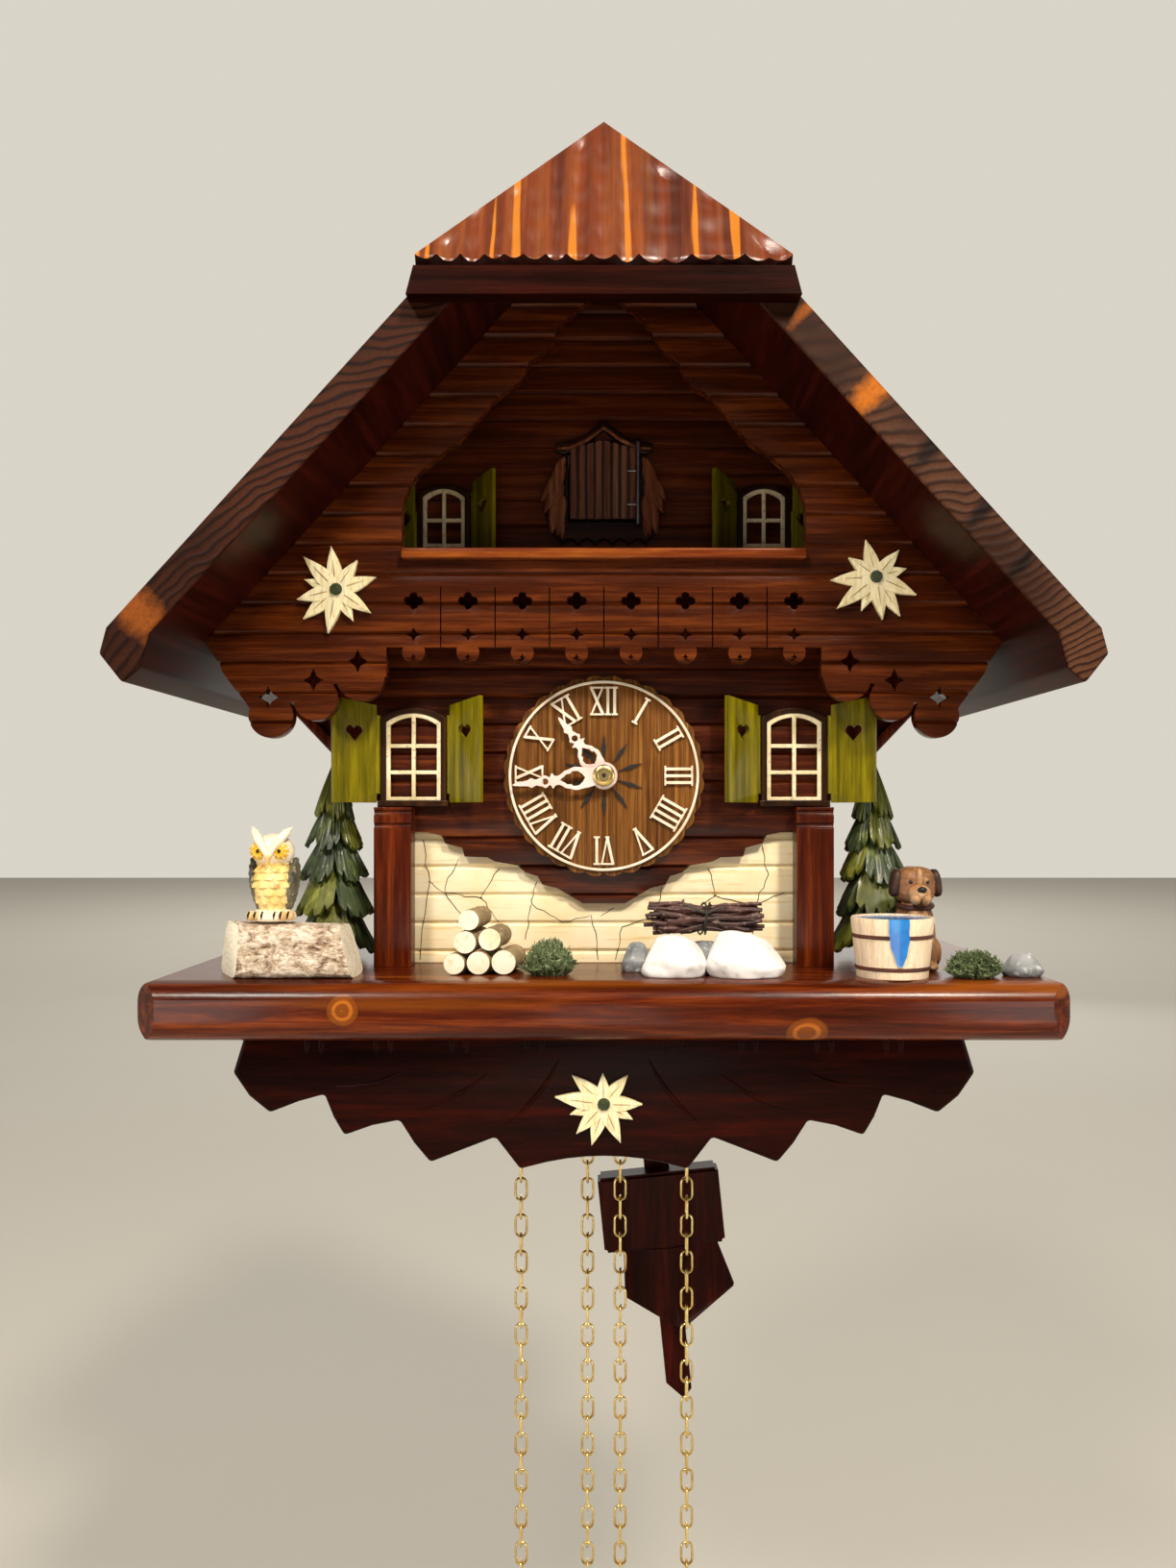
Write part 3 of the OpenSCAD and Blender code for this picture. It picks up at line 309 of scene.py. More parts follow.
M = {
    "base": wood("base_wood", "X", knots=KNOTS, rough=0.22, coat=0.45, streak="8f4a12", **RED),
    "post": wood("post_wood", "Z", rough=0.28, coat=0.35, **RED),
    "facade": wood("facade_wood", "X", "180602", "43190a", "7f3d14", rough=0.3, coat=0.3),
    "upper": wood("upper_wood", "X", "220903", "54220c", "804018", rough=0.34, coat=0.2),
    "gable": wood("gable_wood", "X", "1e0802", "471b05", "7c3b10", rough=0.25, coat=0.35, patch=0.35),
    "rail": wood("rail_wood", "X", "2c0c03", "6d2c0a", "aa5c1c", rough=0.27, coat=0.4),
    "apron": wood("apron_wood", "X", "0a0100", "220401", "420d02", rough=0.26, coat=0.06, fast=200,
                  spec=0.05),
    # pale chamfer wood: painted highlight on the apron's lower edges
    "chamfer_highlight": wood("chamfer_painted_highlight", "X", "1c0803", "4c2212", "7c4a2c", rough=0.34, coat=0.2),
    "roof": wood("roof_wood", "Y", "1a0603", "45170a", "78330f", rough=0.28, coat=0.3, streak="954a10"),
    "hip_edge": wood("hip_edge_wood", "X", "0c0100", "200601", "3c0f03", rough=0.3, coat=0.05, spec=0.05),
    "end_left": end_grain("roof_end_left", "1a0904", "43200f", mm(-20, 0, -190),
                          spots=[(mm(-136, 0, -90), (0.015, 0.007), -47.7, "8f4c1a")]),
    "end_right": end_grain("roof_end_right", "2b150c", "65402a", mm(60, 0, 60),
                           spots=[(mm(79, 0, -25), (0.014, 0.0046), 47.7, "c06a16"),
                                  (mm(60, 0, -1), (0.010, 0.0022), 47.7, "a2561a"),
                                  (mm(95, 0, -43), (0.010, 0.0036), 47.7, "0a0302"),
                                  (mm(111, 0, -60), (0.011, 0.0030), 47.7, "0a0302"),
                                  (mm(122, 0, -76), (0.008, 0.0024), 47.7, "0a0302")]),
    # roof underside: a darker copy of the roof wood, painted shade
    "under": wood("underside_painted_shade", "Y", "120201", "300a04", "4e160a", rough=0.36, coat=0.15),
    "dial": wood("dial_wood", "Z", "1e0e03", "6e4319", "a87434", rough=0.42, coat=0.1, fast=760),
    "dial_edge": painted("dial_edge", "76543a", "5c3d26", grain="Z"),
    "star": painted("star_ink", "0c0604", "1a0e09", rough=0.5),
    "letters": painted("letters", "f2e8d4", "ddcbae", rough=0.42, fine=500),
    "hands": painted("hand_ivory", "f3e2dc", "e4cbc2", rough=0.35, coat=0.2),
    "lattice": painted("lattice_cream", "eee0bd", "d3c193", "a58f62", rough=0.45),
    "frame": wood("frame_wood", "Z", "120703", "2e1807", "4b2c10", rough=0.36, coat=0.25),
    "shutter": wood("shutter_green", "Z", "302c02", "6c6303", "a39403", rough=0.33, coat=0.25, patch=0.3),
    "shutter_edge": painted("shutter_edge", "3b2a0c", "241706", "5c4a12", grain="Z"),
    "stone_wall": painted("wall_cream", "fff3d0", "fde9ba", "ecca86", rough=0.36, grain="X", coat=0.3),
    "crack": painted("crack_line", "3a1f0d", "27130a"),
    "door": wood("door_wood", "Z", "371b11", "7a4c39", "a0725a", rough=0.4, coat=0.2, fast=520),
    "door_gap": painted("door_gap", "2f0d08", "1a0604", grain="Z"),
    "carving": wood("carving_wood", "Z", "26100a", "784024", "c0855a", rough=0.34, coat=0.3),
    "carving_dark": wood("carving_dark", "X", "0c0402", "261009", "4a2818", rough=0.34, coat=0.3),
    "petal": wood("petal_wood", "Z", "d3bb82", "f8ebbd", "fff7dc", rough=0.5, coat=0.05, fast=500, patch=0.1),
    "vein": painted("petal_vein", "b08d52", "8f6d38"),
    "floret": painted("floret_green", "2c3a1d", "3f4b22", "6d6a34", fine=1500),
    "owl": painted("owl_cream", "f7e3a0", "e9c264", "b57f35", fine=300, coat=0.2),
    "owl_pale": painted("owl_pale", "fdf3de", "f0dcbc", fine=300, coat=0.2),
    "owl_dark": painted("owl_wing", "77735f", "47443a", "b9ad86", fine=420),
    "yellow": painted("owl_yellow", "f0c21c", "dfa00f"),
    "orange": painted("toe_cream", "f2d39c", "dba560", fine=300),
    "black": painted("dark_dot", "0a0706", "17110e", rough=0.25),
    "cut": end_grain("cut_wood", "f4e6c6", "fcf4df", mm(-125, -121, -200), 0.0012, stain=False, depth=0.0001),
    "round": painted("round_face", "fcf2dc", "f1e0bc", "d6bd90", fine=500),
    "cork": painted("log_bark", "ab946c", "7d6a4b", "d8c79d", fine=600, rough=0.8, bump=0.7),
    "fir": painted("fir_green", "3b4a26", "1e2b14", "77823a", fine=240, grain="Z", rough=0.5, coat=0.1),
    "fir_light": painted("fir_light", "6a6e22", "444b18", "9c9c3c", fine=240, grain="Z", rough=0.48,
                         coat=0.1),
    "moss": painted("moss_sprigs", "74835a", "46552f", "a9b78c", rough=0.8),
    "twig": painted("twig_bark", "55302a", "2c1613", "9a7c70", rough=0.55, bump=0.6),
    "wire": painted("binding_wire", "2e3323", "1b1f14", rough=0.4),
    "white_stone": painted("white_stone", "ffffff", "f1eeea", "dcd7d0", rough=0.5, fine=420),
    # grey for the grey stones; on the hidden middle stone it is painted shade
    "grey_stone_and_painted_shade": painted("grey_stone_and_painted_shade", "a3a5a6", "6d7376", "d2d4d2", rough=0.5, fine=500),
    "tub": wood("tub_wood", "Z", "e2c49c", "f2dabb", "f8e7d0", rough=0.45, coat=0.15, fast=420, patch=0.05),
    "band": painted("tub_band", "5c2a14", "3c180a", grain="X"),
    "water": painted("tub_water", "0f8fe0", "0a6cc4", rough=0.2, coat=0.5),
    "dog": painted("dog_coat", "8f6038", "5c381c", "b98a58", fine=420),
    "dog_dark": painted("dog_ear", "3a2114", "241109", "5e3c26", fine=420),
    "dog_light": painted("dog_muzzle", "c79a6c", "94663c", "dcb88c", fine=420),
    "collar": painted("dog_collar", "4a2214", "2d120a"),
    "brass": metal("brass", "f0dc9c", "c9a660", 0.24),
    "plate_brass": metal("plate_brass", "cfa95c", "8a6b35", rough=0.33),
    "steel": metal("steel", "a9abae", "6c6e72", rough=0.34),
    "iron": painted("cast_iron", "35221a", "1c110d", "74553a", rough=0.4, coat=0.25),
    "bob": wood("bob_wood", "Z", "100101", "2c0703", "521204", rough=0.28, coat=0.06, fast=240, spec=0.05),
    "bare": wood("bare_wood", "Z", "9a7244", "bd935d", "d0aa75", rough=0.6, coat=0.0),
    "cloth": painted("bellows_cloth", "d8cdb8", "b9ab90", rough=0.85),
    "bird": painted("bird_grey", "5e6670", "8a8f94", "b7b9b4", fine=900),
}
M["hip"] = hip_wood()
M["bark"] = birch_bark()

# ---------------------------------------------------------------- mesh helpers


def piece(name, bm, mats, body=CASE, stands_for=(), sharp=38):
    """A piece from a bmesh: materials, smooth faces, sharp edges, its body and the nodes it replaces."""
    mesh = bpy.data.meshes.new(name)
    bmesh.ops.recalc_face_normals(bm, faces=bm.faces)
    bm.to_mesh(mesh)
    bm.free()
    for m in mats:
        mesh.materials.append(M[m])
    mesh.polygons.foreach_set("use_smooth", [True] * len(mesh.polygons))
    mesh.set_sharp_from_angle(angle=math.radians(sharp))
    obj = bpy.data.objects.new(name, mesh)
    bpy.context.scene.collection.objects.link(obj)
    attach(obj, body)
    if stands_for:
        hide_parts(*stands_for)


def carved(node, mats, width=0.35, segments=2, edge_slot=0, facing=None, name=None, angle=28):
    """A CAD node with its edges eased; facing maps a face's normal and middle to a material slot."""
    bm = bmesh.new()
    bm.from_mesh(frame["nodes"][node].data)
    bmesh.ops.remove_doubles(bm, verts=bm.verts, dist=2e-6)
    bmesh.ops.dissolve_limit(bm, angle_limit=math.radians(0.6), verts=bm.verts, edges=bm.edges)
    for f in bm.faces:
        f.material_index = facing(f.normal, f.calc_center_median()) if facing else 0
    edges = [e for e in bm.edges if len(e.link_faces) == 2 and e.calc_face_angle(0) > math.radians(angle)]
    if width:
        bmesh.ops.bevel(bm, geom=edges, offset=width * MM, segments=segments, profile=0.6, affect="EDGES",
                        clamp_overlap=True, material=edge_slot if edge_slot else -1)
    piece(name or f"{node}_carved", bm, mats, NODE_BODY[node], [node])


def sheet_form(outlines, y, t, ease=0.25, steps=1, at=(0, 0), turn=0.0):
    """Bevelled plate from closed outlines in X and Z (the first is outside, the rest holes), front at y.
    Millimetres, except that turn is in degrees counter-clockwise as seen from the front."""
    curve = bpy.data.curves.new("form", "CURVE")
    curve.dimensions = "2D"
    curve.fill_mode = "BOTH"
    curve.extrude = max(t / 2 - ease, 0.02)
    curve.bevel_depth = ease
    curve.offset = -ease
    curve.bevel_resolution = steps
    for outline in outlines:
        spline = curve.splines.new("POLY")
        spline.points.add(len(outline) - 1)
        for p, (x, z) in zip(spline.points, outline):
            p.co = (x, z, 0, 1)
        spline.use_cyclic_u = True
    obj = bpy.data.objects.new("form", curve)
    bpy.context.scene.collection.objects.link(obj)
    bpy.context.view_layer.update()
    mesh = bpy.data.meshes.new_from_object(obj.evaluated_get(bpy.context.evaluated_depsgraph_get()))
    bpy.data.objects.remove(obj)
    stand = Matrix.Translation(mm(at[0], y + t / 2, at[1])) @ Matrix.Scale(MM, 4)
    upright = Matrix.Rotation(math.pi / 2, 4, "X")
    mesh.transform(stand @ Matrix.Rotation(math.radians(-turn), 4, "Y") @ upright)
    return mesh


def merged(meshes):
    """One bmesh of several meshes; each entry is a mesh or (mesh, material slot)."""
    bm = bmesh.new()
    for m in meshes:
        m, slot = m if isinstance(m, tuple) else (m, None)
        start = len(bm.faces)
        bm.from_mesh(m)
        bm.faces.ensure_lookup_table()
        if slot is not None:
            for f in bm.faces[start:]:
                f.material_index = slot
    return bm


def ring_points(r, n=24, at=(0, 0)):
    """Outline of a circle in X and Z."""
    return [(at[0] + r * math.cos(2 * math.pi * i / n), at[1] + r * math.sin(2 * math.pi * i / n))
            for i in range(n)]


def circle(centre, r, n, across=(1, 0, 0)):
    """Upright ring of n points about a centre, in the plane of +Z and one more axis."""
    turns = [2 * math.pi * k / n for k in range(n)]
    return [Vector(centre) + (Vector(across) * math.cos(t) + Vector((0, 0, 1)) * math.sin(t)) * r
            for t in turns]


def skin(bm, rings, slot=0):
    """Faces from each closed ring of vertices to the next."""
    for a, b in zip(rings, rings[1:]):
        n = len(a)
        for k in range(n):
            bm.faces.new((a[k], a[(k + 1) % n], b[(k + 1) % n], b[k])).material_index = slot


def cap_ends(bm, rings, slot=0):
    for ring in (rings[0], rings[-1]):
        bm.faces.new(ring).material_index = slot


def add_tube(bm, points, radii, sides=8, slot=0, closed=False):
    """Tube through points (metres) with a radius at each."""
    rings = []
    side = Vector((0, 0, 1))
    n = len(points)
    for i, p in enumerate(points):
        a = points[(i - 1) % n] if closed or i > 0 else p
        b = points[(i + 1) % n] if closed or i < n - 1 else p
        d = (b - a).normalized()
        u = d.cross(side)
        if u.length < 1e-4:
            u = d.cross(Vector((1, 0, 0)))
        u.normalize()
        side = u.cross(d).normalized()
        rings.append([bm.verts.new(p + (u * math.cos(t) + side * math.sin(t)) * radii[i])
                      for t in (2 * math.pi * k / sides for k in range(sides))])
    for i in range(n if closed else n - 1):
        a, b = rings[i], rings[(i + 1) % n]
        shift = 0
        if closed and i == n - 1:
            shift = min(range(sides), key=lambda s: (a[0].co - b[s].co).length)
        for k in range(sides):
            f = bm.faces.new((a[k], a[(k + 1) % sides], b[(k + 1 + shift) % sides], b[(k + shift) % sides]))
            f.material_index = slot
    if not closed:
        cap_ends(bm, rings, slot)


def add_ball(bm, at, size, slot=0, turn=None, cuts=3, shape=None):
    """Ball of radii size (metres) at a point, turned by a matrix; shape changes each unit vector."""
    made = bmesh.ops.create_icosphere(bm, subdivisions=cuts, radius=1.0)
    turn = turn or Matrix.Identity(3)
    faces = set()
    for v in made["verts"]:
        c = shape(v.co.copy()) if shape else v.co.copy()
        v.co = Vector(at) + turn @ Vector((c.x * size[0], c.y * size[1], c.z * size[2]))
        faces.update(v.link_faces)
    for f in faces:
        f.material_index = slot
    return made["verts"]


def add_lathe(bm, profile, at, sides=40, slot=0, ripple=None):
    """Turned form: profile of (radius, height) in metres about +Z; ripple(angle, k) scales the radius."""
    rings = []
    for k, (r, h) in enumerate(profile):
        ring = []
        for i in range(sides):
            a = 2 * math.pi * i / sides
            q = r * (ripple(a, k) if ripple else 1)
            ring.append(bm.verts.new(Vector(at) + Vector((q * math.cos(a), q * math.sin(a), h))))
        rings.append(ring)
    skin(bm, rings, slot)
    cap_ends(bm, rings, slot)


# ---------------------------------------------------------------- house


def roof_slot(normal, _at):
    """Sawn ends at the front, stained top, and the underside in a darker copy of the wood as painted shade.
    """
    if normal.y < -0.9:
        return 1
    return 2 if normal.z < -0.2 else 0


def dial_slot(normal, at):
    """Face of the disc, its scalloped edge, and the raised star."""
    if normal.y < -0.9 and at.y < middle("dial_disc").y - 0.0016:
        return 2
    return 0 if abs(normal.y) > 0.7 else 1


for side in ("left", "right"):
    carved(f"roof_{side}", ["roof", f"end_{side}", "under"], 1.1, 3, facing=roof_slot)
carved("base_board", ["base"], 0.0, angle=60)
carved("porch_posts", ["post"], 0.7, 3)
carved("case_sides", ["post"], 0.5)
carved("back_panel", ["bare"], 0.4)
carved("lower_facade", ["facade"], 0.3)
carved("upper_wall", ["upper"], 0.3)
carved("gable_front", ["gable"], 0.3)
carved("balcony_boards", ["rail"], 0.8, 3)
carved("stone_wall", ["stone_wall"], 0.3)
carved("shutters", ["shutter", "shutter_edge"], 0.4, edge_slot=1)
carved("pendulum_rod", ["bob"], 0.5)
carved("dial_disc", ["dial", "dial_edge", "star"], 0.3, facing=dial_slot)
carved("cuckoo_pipes", ["bare", "cloth"], 0.4, facing=lambda n, at: 1 if at.z > -0.0881 else 0)
for lid in ("left_bellows_top", "right_bellows_top"):
    carved(lid, ["bare"], 0.3)


def apron():
    """Leaf board with pale chamfers as a painted highlight on its lower edges, carved ridges from each notch
    and gouges under the top edge.
    """
    low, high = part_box("apron")
    chamfer_top = high.z - 0.009

    # downward faces at the front, below the top band, take the pale chamfer wood: a painted highlight
    def painted_highlight_slot(normal, at):
        return 1 if normal.z < -0.25 and at.z < chamfer_top and at.y < low.y + 0.0012 else 0

    carved("apron", ["apron", "chamfer_highlight"], 1.5, 3, name="apron_board", facing=painted_highlight_slot)
    bm = bmesh.new()
    notches = [(34.5, -252), (65, -246.6), (88.9, -238.4)]
    for x, z in notches:
        for side in (-1, 1):
            start = Vector((side * (x - 1.5), 0, z + 2.5))
            aim = Vector((side * 6, 0, -216)) - start
            length = 32 if x < 80 else 26
            aim = aim.normalized() * length
            bend = Vector((-aim.z, 0, aim.x)).normalized() * 2.2 * side
            points = [start + aim * t + bend * math.sin(math.pi * t) for t in [i / 10 for i in range(11)]]
            radii = [(0.2 + 0.75 * math.sin(math.pi * (i + 0.6) / 11.2)) * MM for i in range(11)]
            add_tube(bm, [mm(p.x, low.y / MM + 0.45, p.z) for p in points], radii, 10)
    for x in (22, 46, 70, 92):
        for side in (-1, 1):
            for pair in (-2.3, 2.3):
                add_ball(bm, mm(side * (x + pair), low.y / MM + 0.3, high.z / MM - 4.2),
                         (0.0011, 0.0006, 0.0032), cuts=2)
    piece("apron_ridges", bm, ["apron"])


apron()


def pendulum_bob():
    """Carved pendulum bob: an upright block and, under it, a shield whose facets fall from a middle ridge."""
    block = bmesh.new()
    block_form = Matrix.Translation(mm(0, -38.2, -217.0)) @ Matrix.Diagonal((*mm(46.2, 11.3, 28.6), 1))
    bmesh.ops.create_cube(block, size=1.0, matrix=block_form)
    bmesh.ops.bevel(block, geom=block.edges[:], offset=0.0012, segments=3, affect="EDGES", clamp_overlap=True)
    edge = [(-15.8, -231.5), (-17.2, -250.0), (1.0, -263.4), (5.6, -263.4), (25.2, -249.6), (20.0, -231.5)]
    ridge = [(0.4, -231.5), (2.2, -249.0), (3.3, -260.5)]
    shield = bmesh.new()
    back = [shield.verts.new(mm(x, -36.5, z)) for x, z in edge]
    front = [shield.verts.new(mm(x, -39.6, z)) for x, z in edge]
    crest = [shield.verts.new(mm(x, -42.7, z)) for x, z in ridge]
    n = len(edge)
    for i in range(n):
        shield.faces.new((front[i], front[(i + 1) % n], back[(i + 1) % n], back[i]))
    shield.faces.new(back)
    for loop in ((front[0], front[1], crest[1], crest[0]), (front[1], front[2], crest[2], crest[1]),
                 (front[2], front[3], crest[2]), (front[3], front[4], crest[1], crest[2]),
                 (front[4], front[5], crest[0], crest[1]), (front[5], front[0], crest[0])):
        shield.faces.new(loop)
    facets = [f for f in shield.faces if len(f.verts) == 4 and any(v in crest for v in f.verts)]
    bmesh.ops.triangulate(shield, faces=facets)
    bmesh.ops.recalc_face_normals(shield, faces=shield.faces)
    bmesh.ops.bevel(shield, geom=shield.edges[:], offset=0.0005, segments=2, affect="EDGES",
                    clamp_overlap=True)
    bm = bmesh.new()
    for part in (block, shield):
        mesh = bpy.data.meshes.new("part")
        part.to_mesh(mesh)
        part.free()
        bm.from_mesh(mesh)
    swing = Matrix.Translation(mm(0, 0, SWING_TOP)) @ Matrix.Rotation(SWING_REST, 4, "Y")
    bm.transform(swing)
    piece("pendulum_bob_carved", bm, ["bob"], "pendulum", ["pendulum_bob"], sharp=25)


pendulum_bob()


def hip_roof():
    """Hip board of upright planks, hollowed by a gouge, with a scalloped lower edge over a plain fascia."""
    low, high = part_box("hip_roof")
    foot_z, foot_half, low_half, run = 0.011, 0.0544, 0.057, 0.02705
    slope = (high.z - foot_z) / run
    thick = 0.006
    inward = Vector((0, 0.894, -0.448))
    cols, rows = 150, 56
    rng = random.Random(12)
    edges = [-foot_half]
    while edges[-1] < foot_half:
        edges.append(edges[-1] + rng.uniform(0.0055, 0.0075) + 0.0085 * (edges[-1] > 0.008))
    bm = bmesh.new()
    profiles = []
    for i in range(cols + 1):
        x = foot_half * 0.996 * (2 * i / cols - 1)
        top = high.z - (high.z - foot_z) * abs(x) / foot_half
        plank = max(k for k, e in enumerate(edges) if e <= x)
        across = (x - edges[plank]) / (edges[plank + 1] - edges[plank])
        wide = edges[plank + 1] - edges[plank]
        bays = max(1, round(wide / 0.008))
        bay = abs(math.sin(math.pi * across * bays)) ** 0.7 * min(1.0, wide / bays / 0.0085)
        foot = min(foot_z + 0.0006 - 0.0021 * bay, top - 0.0002)
        profile = [Vector((x * low_half / foot_half, low.y, low.z)),
                   Vector((x * 1.008, low.y, low.z + 0.0082)),
                   Vector((x, low.y + 0.0022, low.z + 0.0084))]
        for k in range(rows + 1):
            z = foot + (top - foot) * k / rows
            bite = 0.5 - 0.5 * math.cos((z - foot_z) / 0.0165 * 2 * math.pi + 1.7 * plank
                                        + 0.8 * math.sin(2.3 * plank))
            hollow = (0.0015 * bite + 0.0002) * math.sin(math.pi * across) * min(1.0, wide / 0.0085)
            fade = min(1.0, (top - z) / 0.004)
            profile.append(Vector((x, low.y + max(0.0, z - foot_z) / slope + 0.0004, z))
                           + inward * (hollow * fade))
        inner = Vector((x, low.y + (top - foot_z) / slope, top)) + inward * thick
        inner.z = max(inner.z, 0.0096)
        profile += [inner, Vector((x, low.y + thick, 0.0095)),
                    Vector((x * low_half / foot_half, low.y + thick, low.z))]
        profiles.append([bm.verts.new(p) for p in profile])
    n = len(profiles[0])
    for a, b in zip(profiles, profiles[1:]):
        for k in range(n):
            f = bm.faces.new((a[k], b[k], b[(k + 1) % n], a[(k + 1) % n]))
            f.material_index = 0 if 2 < k < n - 4 else 1
    for p in (profiles[0], profiles[-1]):
        bm.faces.new(p).material_index = 1
    piece("hip_board", bm, ["hip", "hip_edge"], stands_for=["hip_roof"], sharp=21)


hip_roof()


def arch(w, h, rise, z=0.0):
    """Outline with upright sides and a low arched top, standing on z."""
    n = 14
    r = (w * w / 4 + rise * rise) / (2 * rise)
    half = math.asin(w / 2 / r)
    top = [(r * math.sin(t), z + h - r + r * math.cos(t))
           for t in (half - 2 * half * i / n for i in range(n + 1))]
    return [(w / 2, z), *top, (-w / 2, z)]


def windows():
    """Cream lattices in dark arched frames, with a sill below the two lower ones."""
    forms = []
    for side in (-1, 1):
        for x, z, w, h, wall in ((64.4, -144.6, 18.4, 29.6, -91.5), (57.6, -62.0, 15.0, 30.0, -66.0)):
            at = (side * x, z)
            frame_w, bar, rise = 1.9, 1.35, 3.0
            frame_rim = [arch(w + 2 * frame_w, h + frame_w + 1, rise + 0.4, -1), arch(w, h, rise)[::-1]]
            forms.append((sheet_form(frame_rim, wall - 2.4, 2.4, 0.3, 2, at), 1))
            sash_rim = [arch(w + 0.3, h + 0.2, rise), arch(w - 2 * bar, h - 2 * bar, rise - 0.3, bar)[::-1]]
            forms.append((sheet_form(sash_rim, wall - 2.0, 1.5, 0.3, 2, at), 0))
            upright = [(-bar / 2, 0.5), (bar / 2, 0.5), (bar / 2, h - 0.6), (-bar / 2, h - 0.6)]
            forms.append((sheet_form([upright], wall - 2.1, 1.5, 0.3, 2, at), 0))
            for row in (1, 2):
                zz = bar / 2 + row * (h - bar - 1.4) / 3
                level = [(-w / 2 + 0.5, zz - bar / 2), (w / 2 - 0.5, zz - bar / 2),
                         (w / 2 - 0.5, zz + bar / 2), (-w / 2 + 0.5, zz + bar / 2)]
                forms.append((sheet_form([level], wall - 1.95, 1.4, 0.3, 2, at), 0))
        sill = [(-11.8, -1.9), (11.8, -1.9), (11.8, 0.2), (-11.8, 0.2)]
        forms.append((sheet_form([sill], -94.6, 3.1, 0.4, 2, (side * 64.4, -144.6)), 1))
    piece("window_set", merged(forms), ["lattice", "frame"], stands_for=["windows"])


windows()


def stone_cracks():
    """Engraved crack lines on the plastered wall."""
    face = -88.42
    rng = random.Random(5)
    lines = [[(-62, -158), (-60, -172), (-63, -199)], [(-50, -164), (-55, -176), (-47, -186), (-50, -199)],
             [(-60, -172), (-55, -176)], [(-36, -168), (-42, -178), (-36, -186)], [(-42, -178), (-55, -176)],
             [(-23, -172), (-25, -180), (-14, -186), (-4, -184), (-2, -199)], [(-25, -180), (-27, -192)],
             [(4, -181), (-1, -184)], [(20, -174), (18, -184), (6, -188), (4, -199)],
             [(36, -168), (38, -177), (30, -183)],
             [(38, -177), (52, -180), (62, -176)], [(52, -180), (50, -199)],
             [(54, -160), (56, -170), (52, -180)], [(18, -184), (24, -190)]]
    bm = bmesh.new()
    for line in lines:
        points = []
        for (x0, z0), (x1, z1) in zip(line, line[1:]):
            for i in range(5):
                t = i / 5
                points.append(mm(x0 + (x1 - x0) * t + rng.uniform(-0.5, 0.5), face,
                                 z0 + (z1 - z0) * t + rng.uniform(-0.4, 0.4)))
        points.append(mm(line[-1][0], face, line[-1][1]))
        add_tube(bm, points, [0.00015] * len(points), 5)
    piece("stone_cracks", bm, ["crack"])


stone_cracks()


def door_leaf():
    """Cuckoo door of taupe slats on a dark red leaf, with its hinge rod."""
    rod_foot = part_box("cuckoo_door")[0].z / MM
    y, t = -70.2, 2.4
    left, right, foot = -12.4, 11.8, -43.1
    count, rise = 8, 3.4
    pitch = (right - left) / count

    def top(x):
        return -18.0 + rise * (1 - abs(x - (left + right) / 2) / ((right - left) / 2))

    backing = [(right - 0.2, foot + 0.2), (right - 0.2, top(right) - 0.3), (-0.3, top(-0.3) - 0.3),
               (left + 0.2, top(left) - 0.3), (left + 0.2, foot + 0.2)]
    forms = [(sheet_form([backing], y + 1.1, t - 1.1, 0.1, 1), 1)]
    for k in range(count):
        x0, x1 = left + k * pitch + 0.42, left + (k + 1) * pitch - 0.42
        forms.append((sheet_form([[(x1, foot), (x1, top(x1)), (x0, top(x0)), (x0, foot)]], y + 0.25, 1.4,
                                 0.42, 3), 0))
    bm = merged(forms)
    add_tube(bm, [mm(12.2, -70.4, rod_foot), mm(12.2, -70.4, rod_foot + 29.6)], [0.0007, 0.0007], 16, 2)
    for z in (foot + 5, foot + 17):
        add_tube(bm, [mm(12.2, -70.4, z), mm(11.4, -70.3, z), mm(8.4, -70.15, z)], [0.0004, 0.0004, 0.0003],
                 8, 2)
    piece("cuckoo_door_slats", bm, ["door", "door_gap", "steel"], "door_leaf", ["cuckoo_door"])


